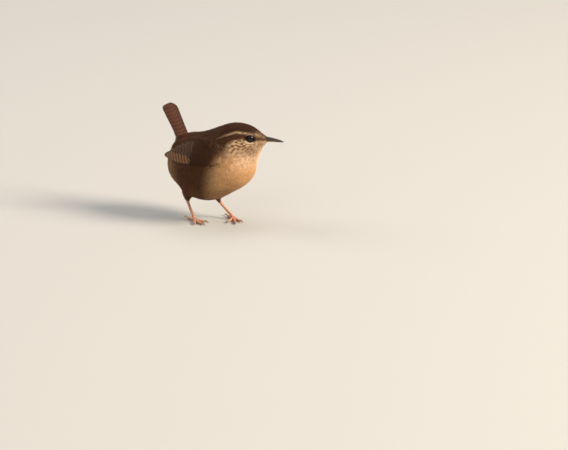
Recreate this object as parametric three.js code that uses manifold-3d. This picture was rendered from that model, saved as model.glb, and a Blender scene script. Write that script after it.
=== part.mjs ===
// A Eurasian wren, life size, standing with its tail cocked and its left foot ahead.
// Millimetres. The bird faces +X with its left side towards +Y and the floor is z = 0.
import * as THREE from "three";
import * as BufferGeometryUtils from "three/addons/utils/BufferGeometryUtils.js";
import Module from "manifold-3d";

const wasm = await Module();
wasm.setup();

// Sizes of the adult bird that everything else follows
const gap = 0.3;
const cutReach = 160;
const wingSpanFolded = 48;
const tailLength = 30;
const tarsusRadius = 0.85;
const billLength = 11;
const eyeRadius = 2.55;
const toeRadius = 0.85;
const toeHeight = 0.72;

// Flesh and plumage together, as ellipsoids that melt into one another over "blend"
const trunkForms = [
  { centre: [-2.6, 0, 33], radii: [23.5, 18.4, 20.3], pitch: 0.44, blend: 0 },
  { centre: [9.2, 0.5, 36.1], radii: [18.6, 16.1, 15.3], pitch: -0.12, blend: 5 },
  { centre: [-19.3, 0, 35.3], radii: [15.4, 11, 10.5], pitch: 1.2, blend: 6 },
  { centre: [11.7, 1.4, 46.4], radii: [15.4, 13.1, 13], pitch: 0.38, blend: 6 },
];

// The head's own frame starts between the bill's halves and is turned a little to the left
const headOrigin = new THREE.Vector3(33.4, 6.8, 52.3);
const headTurn = THREE.MathUtils.degToRad(15);
const headPitch = THREE.MathUtils.degToRad(3);
const headForms = [
  { centre: [-14.5, 0, -0.8], radii: [12.1, 8.1, 8.3], pitch: 0, blend: 4 },
  { centre: [-7.4, 0, -1.5], radii: [8.8, 4.8, 3.8], pitch: 0.22, blend: 3 },
  { centre: [-12.5, 2.6, -3.1], radii: [7.2, 6, 5.6], pitch: 0, blend: 3 },
  { centre: [-12.5, -2.6, -3.1], radii: [7.2, 6, 5.6], pitch: 0, blend: 3 },
  { centre: [-10.9, 0, -7.8], radii: [7.1, 6, 8.4], pitch: -0.54, blend: 4 },
];
const eyePlace = { forward: -8.3, side: 4.4, up: 0.8 };
const eyeLook = { forward: 0.27, side: 0.955, up: 0.12 };

// The cocked tail grows from inside the rump
const tailRoot = new THREE.Vector3(-17.5, 0, 40.5);
const tailRise = THREE.MathUtils.degToRad(60.3);

// Each leg from the hidden heel down to the ball of the foot, with the way the foot points
const legs = {
  right: {
    heel: [-15.2, -7.5, 15.6],
    ball: [-7.7, -8.5, 1.1],
    trousers: 4,
    heading: -25,
    hind: 162,
    outer: -1,
  },
  left: {
    heel: [-3.6, 6.4, 13.4],
    ball: [8.8, 7.6, 1.1],
    trousers: 3.2,
    heading: -46,
    hind: 156,
    outer: 1,
  },
};

const paint = {
  mantle: { color: 0x4f3524, roughness: 0.85 },
  crown: { color: 0x573a28, roughness: 0.85 },
  nape: { color: 0x5b3f2c, roughness: 0.85 },
  wing: { color: 0x4a2f20, roughness: 0.8 },
  tail: { color: 0x6b3a22, roughness: 0.8 },
  trousers: { color: 0x6e5136, roughness: 0.88 },
  leg: { color: 0xd98a6c, roughness: 0.55 },
  claw: { color: 0xcdb79a, roughness: 0.4 },
  eye: { color: 0x120c09, roughness: 0.08 },
  billUpper: { color: 0x2c211b, roughness: 0.4 },
  billLower: { color: 0x8a7258, roughness: 0.42 },
};

function toSolid(geometry) {
  const bare = geometry.clone();
  for (const name of Object.keys(bare.attributes)) {
    if (name !== "position") bare.deleteAttribute(name);
  }
  const merged = BufferGeometryUtils.mergeVertices(bare, 1e-5);
  const vertProperties = new Float32Array(merged.attributes.position.array);
  const triVerts = new Uint32Array(merged.index.array);
  return new wasm.Manifold(new wasm.Mesh({ numProp: 3, vertProperties, triVerts }));
}

function enclosedVolume(mesh) {
  const { vertProperties: v, triVerts: t } = mesh;
  let total = 0;
  for (let i = 0; i < t.length; i += 3) {
    const [a, b, c] = [t[i] * 3, t[i + 1] * 3, t[i + 2] * 3];
    total += v[a] * (v[b + 1] * v[c + 2] - v[b + 2] * v[c + 1]);
    total += v[a + 1] * (v[b + 2] * v[c] - v[b] * v[c + 2]);
    total += v[a + 2] * (v[b] * v[c + 1] - v[b + 1] * v[c]);
  }
  return total / 6;
}

// Keeps the largest closed surface of a solid, so no scrap or sealed hollow stays
function largestBody(solid) {
  const meshes = solid.decompose().map((piece) => piece.getMesh());
  meshes.sort((one, other) => enclosedVolume(other) - enclosedVolume(one));
  return meshes[0];
}

// Collapses every edge shorter than the weld, where that leaves the surface closed and unpinched
const weldLength = 0.008;
const creaseAngle = 0.6;

function welded({ vertProperties: v, triVerts: t }) {
  const faces = Array.from({ length: t.length / 3 }, (_, i) => [...t.slice(3 * i, 3 * i + 3)]);
  const around = Array.from({ length: v.length / 3 }, () => new Set());
  faces.forEach((face, i) => face.forEach((corner) => around[corner].add(i)));
  const neighbours = (a) => new Set([...around[a]].flatMap((i) => faces[i]));
  const isShort = (a, b) => Math.hypot(
    v[3 * a] - v[3 * b],
    v[3 * a + 1] - v[3 * b + 1],
    v[3 * a + 2] - v[3 * b + 2],
  ) < weldLength;
  const canJoin = (a, b) => {
    const near = neighbours(b);
    return [...neighbours(a)].filter((c) => near.has(c)).length === 4;
  };
  const join = (a, b) => {
    for (const i of [...around[b]]) {
      if (faces[i].includes(a)) {
        faces[i].forEach((corner) => around[corner].delete(i));
        faces[i] = [];
      } else {
        faces[i] = faces[i].map((corner) => (corner === b ? a : corner));
        around[a].add(i);
      }
    }
    around[b].clear();
  };
  for (let i = 0; i < faces.length; i++) {
    for (let k = 0; k < 3 && faces[i].length > 0; k++) {
      const [a, b] = [faces[i][k], faces[i][(k + 1) % 3]];
      if (isShort(a, b) && canJoin(a, b)) {
        join(a, b);
        k = -1;
      }
    }
  }
  return faces.flat();
}

function toGeometry(solid) {
  const mesh = largestBody(solid);
  const geometry = new THREE.BufferGeometry();
  geometry.setAttribute("position", new THREE.Float32BufferAttribute(mesh.vertProperties, 3));
  geometry.setIndex(welded(mesh));
  return BufferGeometryUtils.toCreasedNormals(geometry, creaseAngle);
}

function fuse(solids) {
  return solids.reduce((whole, next) => whole.add(next));
}

function smoothMin(a, b, blend) {
  if (blend <= 0) return Math.min(a, b);
  const near = Math.max(blend - Math.abs(a - b), 0) / blend;
  return Math.min(a, b) - near * near * blend * 0.25;
}

// About the distance from a point to an ellipsoid, negative inside
function ellipsoidField(form, x, y, z) {
  const [dx, dy, dz] = [x - form.centre[0], y - form.centre[1], z - form.centre[2]];
  const [c, s] = [Math.cos(form.pitch), Math.sin(form.pitch)];
  const p = [c * dx + s * dz, dy, c * dz - s * dx];
  const scaled = Math.hypot(p[0] / form.radii[0], p[1] / form.radii[1], p[2] / form.radii[2]);
  const slope = Math.hypot(
    p[0] / form.radii[0] ** 2,
    p[1] / form.radii[1] ** 2,
    p[2] / form.radii[2] ** 2,
  );
  return slope < 1e-9 ? -Math.min(...form.radii) : (scaled * (scaled - 1)) / slope;
}

const headForward = new THREE.Vector3(
  Math.cos(headTurn) * Math.cos(headPitch),
  Math.sin(headTurn) * Math.cos(headPitch),
  -Math.sin(headPitch),
);
const headLeft = new THREE.Vector3(-Math.sin(headTurn), Math.cos(headTurn), 0);
const headUp = new THREE.Vector3().crossVectors(headForward, headLeft);
const headMatrix = new THREE.Matrix4()
  .makeBasis(headForward, headLeft, headUp)
  .setPosition(headOrigin);
const toHead = headMatrix.clone().invert();

function headPoint(forward, left, up) {
  return new THREE.Vector3(forward, left, up).applyMatrix4(headMatrix);
}

const scratch = new THREE.Vector3();

function bodyField(x, y, z) {
  let value = Infinity;
  for (const form of trunkForms) {
    value = smoothMin(value, ellipsoidField(form, x, y, z), value === Infinity ? 0 : form.blend);
  }
  scratch.set(x, y, z).applyMatrix4(toHead);
  const [forward, left, up] = scratch.toArray();
  for (const form of headForms) {
    value = smoothMin(value, ellipsoidField(form, forward, left, up), form.blend);
  }
  return value;
}

// Walks out along a ray to where the field first reaches the level, then halves the step
function castOut(field, origin, direction, level) {
  const step = 1.5;
  let near = 0;
  let far = 0;
  const at = (t) => field(
    origin.x + direction.x * t,
    origin.y + direction.y * t,
    origin.z + direction.z * t,
  ) - level;
  do {
    near = far;
    far += step;
  } while (at(far) < 0 && far < cutReach);
  for (let i = 0; i < 22; i++) {
    const middle = (near + far) / 2;
    if (at(middle) < 0) near = middle;
    else far = middle;
  }
  return origin.clone().addScaledVector(direction, (near + far) / 2);
}

// A closed skin seen from one inner point, with its poles on the given axis
function skinFrom(centre, axis, around, rings, level) {
  const geometry = new THREE.SphereGeometry(1, around, rings);
  const turn = new THREE.Quaternion().setFromUnitVectors(new THREE.Vector3(0, 1, 0), axis);
  const position = geometry.attributes.position;
  for (let i = 0; i < position.count; i++) {
    const way = new THREE.Vector3().fromBufferAttribute(position, i).normalize();
    way.applyQuaternion(turn);
    const hit = castOut(bodyField, centre, way, level);
    position.setXYZ(i, hit.x, hit.y, hit.z);
  }
  return toSolid(geometry);
}

// Everything on the far side of a plane, as a big box
function halfSpace(point, normal, offset) {
  const box = new THREE.BoxGeometry(cutReach, cutReach, cutReach);
  const turn = new THREE.Quaternion().setFromUnitVectors(new THREE.Vector3(0, 0, 1), normal);
  box.applyQuaternion(turn);
  const middle = point.clone().addScaledVector(normal, offset + cutReach / 2);
  box.translate(middle.x, middle.y, middle.z);
  return toSolid(box);
}

// A closed body from points and triangles, turned right side out if a mirrored form gave it inside out
function bodyFrom(points, index) {
  const geometry = new THREE.BufferGeometry();
  geometry.setAttribute("position", new THREE.Float32BufferAttribute(points.flatMap((p) => p.toArray()), 3));
  const mesh = { vertProperties: geometry.attributes.position.array, triVerts: index };
  if (enclosedVolume(mesh) < 0) index.reverse();
  geometry.setIndex(index);
  return toSolid(geometry);
}

// A closed loft through rings that hold the upper face from left to right and the lower one back.
// Both faces are split along the same diagonals.
function loft(rings) {
  const count = rings[0].length;
  const half = count / 2;
  const last = (rings.length - 1) * count;
  const index = [];
  for (let r = 0; r < last; r += count) {
    for (let k = 0; k < count; k++) {
      const next = (k + 1) % count;
      const [a, b, c, d] = [r + k, r + next, r + count + next, r + count + k];
      if (k < half) index.push(a, b, c, a, c, d);
      else index.push(a, b, d, b, c, d);
    }
  }
  for (let k = 0; k + 1 < half; k++) {
    const mirror = count - 1 - k;
    index.push(k, mirror, k + 1, mirror, mirror - 1, k + 1);
    index.push(last + k, last + k + 1, last + mirror, last + k + 1, last + mirror - 1, last + mirror);
  }
  return bodyFrom(rings.flat(), index);
}

// A round tube along a smooth line, fat or thin as its radii say, with domed ends
const domeShrink = 0.4;
const domeSlide = 0.75;

function limb({ points, radii, sides = 8, steps = 6, flat = 1 }, grow = 0) {
  const curve = new THREE.CatmullRomCurve3(points.map((p) => new THREE.Vector3(...p)));
  const rings = [];
  const addRing = (t, slide, shrink) => {
    const along = curve.getTangent(t);
    const side = new THREE.Vector3(0, 0, 1).cross(along).normalize();
    const up = new THREE.Vector3().crossVectors(along, side);
    const place = t * (radii.length - 1);
    const low = Math.min(Math.floor(place), radii.length - 2);
    const radius = THREE.MathUtils.lerp(radii[low], radii[low + 1], place - low) + grow;
    const centre = curve.getPoint(t).addScaledVector(along, slide * radius);
    rings.push(Array.from({ length: sides }, (_, k) => {
      const angle = Math.PI - ((k + 0.5) / sides) * 2 * Math.PI;
      return centre.clone()
        .addScaledVector(side, Math.cos(angle) * radius * shrink)
        .addScaledVector(up, Math.sin(angle) * radius * shrink * flat);
    }));
  };
  addRing(0, -domeSlide, domeShrink);
  for (let i = 0; i <= steps; i++) addRing(i / steps, 0, 1);
  addRing(1, domeSlide, domeShrink);
  return loft(rings);
}

function ball(centre, radii, around, rings) {
  const geometry = new THREE.SphereGeometry(1, around, rings);
  geometry.scale(...radii);
  geometry.translate(centre.x, centre.y, centre.z);
  return toSolid(geometry);
}

// Torso, neck and head are one skin, parted by two thin cuts
const torsoCentre = new THREE.Vector3(-1, 0, 34);
const neckCentre = new THREE.Vector3(13, 2, 46);
const headCentre = headPoint(-13, 0, 0);
const headCut = {
  point: headPoint(-16, 0, -6.1),
  normal: new THREE.Vector3(0.46, 0.12, 0.88).normalize(),
};
const neckCut = {
  point: new THREE.Vector3(10, 1.5, 44.5),
  normal: new THREE.Vector3(0.5, 0.1, 0.86).normalize(),
};
const forwardAxis = new THREE.Vector3(1, 0, 0);
const upAxis = new THREE.Vector3(0, 0, 1);

function above(cut, offset) {
  return halfSpace(cut.point, cut.normal, offset);
}

// Each half of the bill is a tapering D in section, flat where the halves meet
const billHalves = {
  upper: { reach: billLength, height: 1.75, width: 1.75, side: 1 },
  lower: { reach: billLength - 0.5, height: 1.15, width: 1.55, side: -1 },
};
const billRoot = 2.4;
const billSteps = 8;
const billArch = 0.35;

function billHalf({ reach, height, width, side }, grow = 0) {
  const rings = [];
  const columns = 5;
  for (let i = 0; i <= billSteps; i++) {
    const t = i / billSteps;
    const forward = THREE.MathUtils.lerp(-billRoot - grow, reach + grow, t);
    const run = THREE.MathUtils.clamp(forward / reach, 0, 1);
    const taper = (1 - run) ** 0.8;
    const half = 0.16 + (width - 0.16) * taper + grow;
    const tall = 0.2 + (height - 0.2) * taper + 2 * grow;
    const line = billArch * Math.sin(2.6 * run) + side * (gap / 2 - grow);
    const upper = [];
    const lower = [];
    for (let k = 0; k < columns; k++) {
      const angle = Math.PI * (1 - k / (columns - 1));
      const across = Math.cos(angle) * half;
      upper.push(headPoint(forward, across, line + side * (0.1 + Math.sin(angle) * (tall - 0.1))));
      lower.unshift(headPoint(forward, across, line));
    }
    rings.push([...upper, ...lower]);
  }
  return loft(rings);
}

function nostril(side) {
  return ball(headPoint(1.5, side * 1.15, 1.05), [0.9, 0.5, 0.28], 10, 6);
}

// Eyes sit in sockets behind raised rims of lid and look out and a little ahead
const lid = { radius: 2.12, tube: 0.42, stand: 1.95, length: 1.06, height: 0.96 };

function eyeCentre(side) {
  return headPoint(eyePlace.forward, side * eyePlace.side, eyePlace.up);
}

function eyeball(side, grow = 0) {
  const radius = eyeRadius + grow;
  return ball(eyeCentre(side), [radius, radius, radius], 14, 10);
}

// The eye's own frame: ahead along the head, then its short way, then out along its look
function eyeMatrix(side) {
  const look = new THREE.Vector3(eyeLook.forward, side * eyeLook.side, eyeLook.up).normalize();
  const ahead = new THREE.Vector3(1, 0, 0).addScaledVector(look, -look.x).normalize();
  const over = new THREE.Vector3().crossVectors(look, ahead);
  const place = new THREE.Vector3(eyePlace.forward, side * eyePlace.side, eyePlace.up);
  return headMatrix.clone().multiply(new THREE.Matrix4().makeBasis(ahead, over, look).setPosition(place));
}

function eyelids(side) {
  const ring = new THREE.TorusGeometry(lid.radius, lid.tube, 5, 16);
  ring.scale(lid.length, lid.height, 1);
  ring.translate(0, 0, lid.stand);
  return toSolid(ring.applyMatrix4(eyeMatrix(side)));
}

// The shallow dish in the plumage that leaves the lids free to see out
const dish = { inner: 2.35, outer: 5, low: 1.75, high: 6 };

function eyeDish(side) {
  const cone = new THREE.CylinderGeometry(dish.outer, dish.inner, dish.high - dish.low, 18);
  cone.rotateX(Math.PI / 2);
  cone.translate(0, 0, (dish.high + dish.low) / 2);
  return toSolid(cone.applyMatrix4(eyeMatrix(side)));
}

// The folded wing lies on a surface that follows the flank and runs straight on past the rump
const wingForm = { centre: [-1, 0, 33.4], radii: [33.6, 18.6, 21.5], pitch: 0, blend: 0 };
const wingAxisHeight = 33.4;
const wingRadius = 18.5;
const wingFront = 17.5;
const wingTip = wingFront - wingSpanFolded + 1.2;

function wingField(x, y, z) {
  return smoothMin(bodyField(x, y, z), ellipsoidField(wingForm, x, y, z), 0.8);
}

// A place on the wing: x along the bird, rise as arc length up the flank, level outwards
function wingPoint(hand, x, rise, level) {
  const angle = rise / wingRadius;
  const origin = new THREE.Vector3(x, 0, wingAxisHeight);
  const way = new THREE.Vector3(0, hand * Math.cos(angle), Math.sin(angle));
  return castOut(wingField, origin, way, level);
}

// Lower and upper edge of the folded wing, as arc lengths up the flank
const wingLow = (x) => 2.8 + 0.011 * Math.max(x + 4, 0) ** 2 + 0.004 * Math.min(x + 4, 0) ** 2;
const wingHigh = (x) => 19 - 0.014 * Math.max(x + 4, 0) ** 2 - 0.0165 * Math.min(x + 4, 0) ** 2;

// The hollow that the wing lies in, clear of it all round
const pocketFloor = -2.2;
const pocketMargin = 0.7;
const wingNose = 7;

// The folded wing's two edges draw together over its rounded front
function wingRise(x, share, margin) {
  const run = THREE.MathUtils.clamp((wingFront + margin - x) / wingNose, 0, 1);
  const open = 0.2 + 0.8 * Math.sqrt(1 - (1 - run) ** 2);
  const middle = (wingLow(x) + wingHigh(x)) / 2;
  const half = ((wingHigh(x) - wingLow(x)) / 2) * open + margin;
  return middle + half * (2 * share - 1);
}

function sheetOver(rows, columns, pointAt) {
  const rings = [];
  for (let i = 0; i <= rows; i++) {
    const upper = [];
    const lower = [];
    for (let k = 0; k <= columns; k++) {
      upper.push(pointAt(i / rows, k / columns, 1));
      lower.unshift(pointAt(i / rows, k / columns, -1));
    }
    rings.push([...upper, ...lower]);
  }
  return loft(rings);
}

function wingPocket(hand) {
  return sheetOver(12, 5, (u, v, face) => {
    const x = THREE.MathUtils.lerp(wingFront + pocketMargin, wingTip - 1.5, u ** 1.7);
    const rise = wingRise(x, v, pocketMargin);
    return wingPoint(hand, x, rise, face > 0 ? 5 : pocketFloor);
  });
}

// The fleshy arm and the small feathers over it, thin at its rim
const armRear = -13;

function wingArm(hand) {
  return sheetOver(7, 4, (u, v, face) => {
    const x = THREE.MathUtils.lerp(wingFront + pocketMargin - gap, armRear, u ** 1.7);
    const rise = wingRise(x, v, pocketMargin - gap);
    const rim = Math.min(1, 4 * v + 0.6, 4 * (1 - v) + 0.6, 4 * u + 0.6, 2.5 * (1 - u) + 0.3);
    return wingPoint(hand, x, rise, face > 0 ? -1.5 + rim * (1.55 - 0.6 * u) : -1.8);
  });
}

// A thin plate between two charted places, broad in the middle and round at its tip.
// Its places are along, across and out of the surface; tilt lifts one edge over the next plate.
const vaneStations = [0, 0.4, 0.78, 0.93, 1];
const vaneWidths = [0.66, 1, 0.96, 0.68, 0.26];
const vaneThickness = 0.5;

function vane(place, { root, tip, width, tilt = 0, bow = 0 }) {
  const along = new THREE.Vector2(tip[0] - root[0], tip[1] - root[1]);
  const across = new THREE.Vector2(-along.y, along.x).normalize();
  return loft(vaneStations.map((t, i) => {
    const half = (width * vaneWidths[i]) / 2;
    const depth = (vaneThickness * (i > 2 ? 0.75 : 1)) / 2;
    const level = THREE.MathUtils.lerp(root[2], tip[2], t);
    const corner = (side, face) => {
      const aside = bow * Math.sin(Math.PI * t) + side * half;
      const u = root[0] + along.x * t + across.x * aside;
      const v = root[1] + along.y * t + across.y * aside;
      return place(u, v, level + side * tilt * half + face * depth);
    };
    return [corner(-1, 1), corner(1, 1), corner(1, -1), corner(-1, -1)];
  }));
}

// Tiers of the folded wing: each runs from its lowest feather to its highest
const wingTiers = [
  { name: "primaries", count: 8, width: [3.7, 4.1], root: [[9, 5.4, -1.1], [0, 9.5, -0.9]],
    tip: [[-21, 4.9, -0.5], [-24, 11, -0.1]], reach: 6.6, tilt: 0.14 },
  { name: "secondaries", count: 5, width: [4.6, 4.8], root: [[1, 9.2, -0.8], [-5, 15, -0.6]],
    tip: [[-22.6, 11.6, 0], [-18.6, 15.6, 0.1]], reach: 0, tilt: 0.13 },
  { name: "tertials", count: 3, width: [5, 4.4], root: [[-2, 13.6, -0.5], [-1, 16.6, -0.4]],
    tip: [[-18.2, 15.2, 0.35], [-11.5, 17.2, 0.35]], reach: 0, tilt: 0.12 },
  { name: "primary coverts", count: 3, width: [2.4, 2.6], root: [[11, 6.4, -0.6], [7, 8.4, -0.5]],
    tip: [[-1, 5, 0.05], [-5, 7.6, 0.15]], reach: 0, tilt: 0.08 },
  { name: "greater coverts", count: 6, width: [3.8, 4], root: [[6, 8.4, -0.6], [6, 16.6, -0.5]],
    tip: [[-6.5, 8.2, 0.3], [-7, 17.4, 0.35]], reach: 1.2, tilt: 0.1 },
  { name: "median coverts", count: 5, width: [3.8, 3.9], root: [[11, 8.6, -0.4], [10, 14.6, -0.3]],
    tip: [[0.5, 8, 0.65], [-1, 16.6, 0.7]], reach: 0.8, tilt: 0.08 },
  { name: "alula", count: 2, width: [2.3, 2.3], root: [[13, 7.8, -0.5], [12.5, 8.4, -0.4]],
    tip: [[4, 5.4, 0.3], [3, 6.6, 0.5]], reach: 0, tilt: 0.08 },
];

function mix(from, to, share) {
  return from.map((value, i) => THREE.MathUtils.lerp(value, to[i], share));
}

function wing(hand) {
  const place = (x, rise, level) => wingPoint(hand, x, rise, level);
  const vanes = wingTiers.flatMap((tier) => Array.from({ length: tier.count }, (_, i) => {
    const share = i / (tier.count - 1);
    const tip = mix(tier.tip[0], tier.tip[1], share);
    tip[0] -= tier.reach * Math.sin(Math.PI * share ** 0.8);
    return vane(place, {
      root: mix(tier.root[0], tier.root[1], share),
      tip,
      width: THREE.MathUtils.lerp(tier.width[0], tier.width[1], share),
      tilt: tier.tilt,
    });
  }));
  return fuse([wingArm(hand), ...vanes]);
}

// The tail's own frame: run from the root, across to the left, level towards its upper face
const tailAlong = new THREE.Vector3(-Math.cos(tailRise), 0, Math.sin(tailRise));
const tailUpper = new THREE.Vector3(Math.sin(tailRise), 0, Math.cos(tailRise));
const tailRoof = 0.006;

function tailPoint(run, across, level) {
  return tailRoot.clone()
    .addScaledVector(tailAlong, run)
    .addScaledVector(tailUpper, level - tailRoof * across * across)
    .add(new THREE.Vector3(0, across, 0));
}

// Six pairs of tail feathers, the middle pair on top and longest, and the coverts round their roots
const tailFeathers = {
  pairs: 6,
  shortening: [0, 0.2, 0.4, 0.8, 1.4, 2.4],
  rootSpread: 0.6,
  tipSpread: 0.98,
  width: [4.6, 4],
  stack: 0.25,
};
const tailCoverts = [
  { count: 5, root: [6, 1, 0.4], tip: [14, 1.6, 0.95], width: 3.1 },
  { count: 5, root: [6, 1.2, -1.6], tip: [15, 1.5, -2.4], width: 3.1 },
];

function tail() {
  const { pairs, shortening, rootSpread, tipSpread, width, stack } = tailFeathers;
  const pieces = [];
  for (let k = 0; k < pairs; k++) {
    for (const side of [1, -1]) {
      const level = 0.45 - stack * k;
      pieces.push(vane(tailPoint, {
        root: [0, side * rootSpread * (k + 0.5), level],
        tip: [tailLength - shortening[k], side * tipSpread * (k + 0.5), level],
        width: THREE.MathUtils.lerp(width[0], width[1], k / (pairs - 1)),
        tilt: -0.05 * side,
      }));
    }
  }
  for (const { count, root, tip, width: broad } of tailCoverts) {
    for (let i = 0; i < count; i++) {
      const off = i - (count - 1) / 2;
      pieces.push(vane(tailPoint, {
        root: [root[0], root[1] * off, root[2]],
        tip: [tip[0] - 0.9 * off * off, tip[1] * off, tip[2]],
        width: broad,
      }));
    }
  }
  const stump = limb({
    points: [0, 5, 9, 12.5].map((run) => tailPoint(run, 0, -0.7).toArray()),
    radii: [3.4, 3.4, 2.6, 1.2],
    sides: 10,
    steps: 4,
  });
  return fuse([stump, ...pieces]);
}

// Legs: feathered thighs, bare shanks, toes with flat soles and a curved claw each
function thighShape({ heel, ball: foot, trousers }) {
  const [hx, hy, hz] = heel;
  const lean = ((foot[0] - hx) * trousers) / (hz - foot[2]);
  return {
    points: [
      [hx + 8, hy, hz + 8.5],
      [hx + 4, hy, hz + 4.6],
      [hx + 1, hy, hz + 0.6],
      [hx + lean, hy, hz - trousers - 1],
    ],
    radii: [5.2, 4.9, 4, 2.7, 1.8, 1.3],
    sides: 12,
    steps: 8,
  };
}

function shankShape({ heel, ball: foot }) {
  const [hx, hy, hz] = heel;
  const mid = [(hx + foot[0]) / 2, (hy + foot[1]) / 2, (hz + foot[2]) / 2 - 0.3];
  return {
    points: [heel, mid, [foot[0], foot[1], foot[2] + 0.7]],
    radii: [1.15, tarsusRadius, 0.8, 0.85, 1],
    sides: 8,
    steps: 7,
  };
}

// The thin cut across the leg where the feathered part ends and the bare shank starts
function legCut({ heel, ball: foot, trousers }) {
  const start = new THREE.Vector3(...heel);
  const normal = new THREE.Vector3(...foot).sub(start).normalize();
  return { point: start.addScaledVector(normal, trousers), normal };
}

function thigh(leg) {
  return limb(thighShape(leg)).subtract(above(legCut(leg), -gap / 2));
}

function shank(leg) {
  return limb(shankShape(leg)).intersect(above(legCut(leg), gap / 2));
}

const toes = [
  { name: "hind", turn: 0, length: 6.4, claw: 3.9 },
  { name: "inner", turn: -30, length: 6.9, claw: 2.7 },
  { name: "middle", turn: 0, length: 9.6, claw: 3.1 },
  { name: "outer", turn: 27, length: 7.3, claw: 2.7 },
];

function toeWay(leg, toe) {
  const heading = toe.name === "hind" ? leg.hind : leg.heading + toe.turn * leg.outer;
  const angle = THREE.MathUtils.degToRad(heading);
  return [Math.cos(angle), Math.sin(angle)];
}

function toePoint(leg, toe, out, height) {
  const [x, y] = toeWay(leg, toe);
  return [leg.ball[0] + x * out, leg.ball[1] + y * out, height];
}

function toeShape(leg, toe) {
  const at = (share, height) => toePoint(leg, toe, toe.length * share, height);
  return {
    points: [at(0, 1.1), at(0.35, 0.95), at(0.7, 0.8), at(1, toeHeight)],
    radii: [1.05, toeRadius, 0.74, toeRadius, 0.68, 0.74, 0.58],
    sides: 6,
    steps: 6,
  };
}

function clawShape(leg, toe) {
  const start = toe.length + 0.58 * domeSlide + gap + 0.42 * domeSlide;
  const end = toe.length + toe.claw;
  const at = (share, height) => toePoint(leg, toe, THREE.MathUtils.lerp(start, end, share), height);
  return {
    points: [at(0, 0.8), at(0.45, 1.15), at(0.8, 0.85), at(1, 0.35)],
    radii: [0.42, 0.4, 0.28, 0.12],
    sides: 6,
    steps: 3,
    flat: 1.15,
  };
}

function foot(leg) {
  const palm = ball(new THREE.Vector3(...leg.ball), [1.7, 1.5, 1.1], 8, 6);
  const whole = fuse([palm, ...toes.map((toe) => limb(toeShape(leg, toe)))]);
  const floor = halfSpace(new THREE.Vector3(), upAxis, 0);
  return whole.intersect(floor).subtract(limb(shankShape(leg), gap));
}

const parts = [];

function addPart(name, solid, look) {
  const material = new THREE.MeshStandardMaterial({ ...look, metalness: 0 });
  const mesh = new THREE.Mesh(toGeometry(solid), material);
  mesh.name = name;
  parts.push(mesh);
}

const hands = { left: 1, right: -1 };
const wholeSkin = skinFrom(torsoCentre, forwardAxis, 32, 24, 0);
let torso = wholeSkin.subtract(above(neckCut, -gap / 2));
let neck = skinFrom(neckCentre, forwardAxis, 28, 19, 0)
  .intersect(above(neckCut, gap / 2))
  .subtract(above(headCut, -gap / 2));
let head = skinFrom(headCentre, headForward, 26, 20, 0).intersect(above(headCut, gap / 2));
for (const [name, hand] of Object.entries(hands)) {
  const pocket = wingPocket(hand);
  torso = torso.subtract(pocket);
  neck = neck.subtract(pocket);
  head = head.subtract(pocket);
  torso = torso.subtract(limb(thighShape(legs[name]), gap));
  head = head.subtract(eyeDish(hand)).add(eyelids(hand)).subtract(eyeball(hand, gap));
}
for (const half of Object.values(billHalves)) head = head.subtract(billHalf(half, gap));

const skinClear = skinFrom(torsoCentre, forwardAxis, 32, 24, gap);
addPart("head", head, paint.crown);
addPart("neck", neck, paint.nape);
addPart("torso", torso, paint.mantle);
addPart("tail", tail().subtract(skinClear), paint.tail);
addPart("bill_upper", billHalf(billHalves.upper).subtract(nostril(1)).subtract(nostril(-1)), paint.billUpper);
addPart("bill_lower", billHalf(billHalves.lower), paint.billLower);
for (const [name, hand] of Object.entries(hands)) {
  const leg = legs[name];
  addPart(`eye_${name}`, eyeball(hand), paint.eye);
  addPart(`wing_${name}`, wing(hand), paint.wing);
  addPart(`thigh_${name}`, thigh(leg), paint.trousers);
  addPart(`shank_${name}`, shank(leg), paint.leg);
  addPart(`foot_${name}`, foot(leg), paint.leg);
  for (const toe of toes) addPart(`claw_${name}_${toe.name}`, limb(clawShape(leg, toe)), paint.claw);
}

// The model stands over the middle of its own box
const bird = new THREE.Group();
for (const mesh of parts) bird.add(mesh);
const box = new THREE.Box3().setFromObject(bird);
bird.position.set(-(box.min.x + box.max.x) / 2, -(box.min.y + box.max.y) / 2, 0);

const wren = new THREE.Group();
wren.add(bird);
export default wren;
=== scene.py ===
import math

import bpy
import numpy as np
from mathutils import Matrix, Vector


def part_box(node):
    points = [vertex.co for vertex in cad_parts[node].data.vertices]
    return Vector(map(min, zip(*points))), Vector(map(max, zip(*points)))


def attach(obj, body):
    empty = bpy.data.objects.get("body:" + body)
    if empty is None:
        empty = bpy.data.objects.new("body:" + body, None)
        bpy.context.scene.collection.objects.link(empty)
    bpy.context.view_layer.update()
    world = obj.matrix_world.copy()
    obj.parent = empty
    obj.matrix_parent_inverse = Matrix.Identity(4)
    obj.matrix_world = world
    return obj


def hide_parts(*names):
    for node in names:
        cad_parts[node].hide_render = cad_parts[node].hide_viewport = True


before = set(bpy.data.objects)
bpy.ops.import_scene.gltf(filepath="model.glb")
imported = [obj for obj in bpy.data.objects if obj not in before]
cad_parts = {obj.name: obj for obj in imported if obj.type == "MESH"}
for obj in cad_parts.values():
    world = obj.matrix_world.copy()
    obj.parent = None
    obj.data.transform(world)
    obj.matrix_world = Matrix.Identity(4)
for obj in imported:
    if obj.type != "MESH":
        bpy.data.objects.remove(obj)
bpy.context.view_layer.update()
print("stage: frame loaded")

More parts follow.
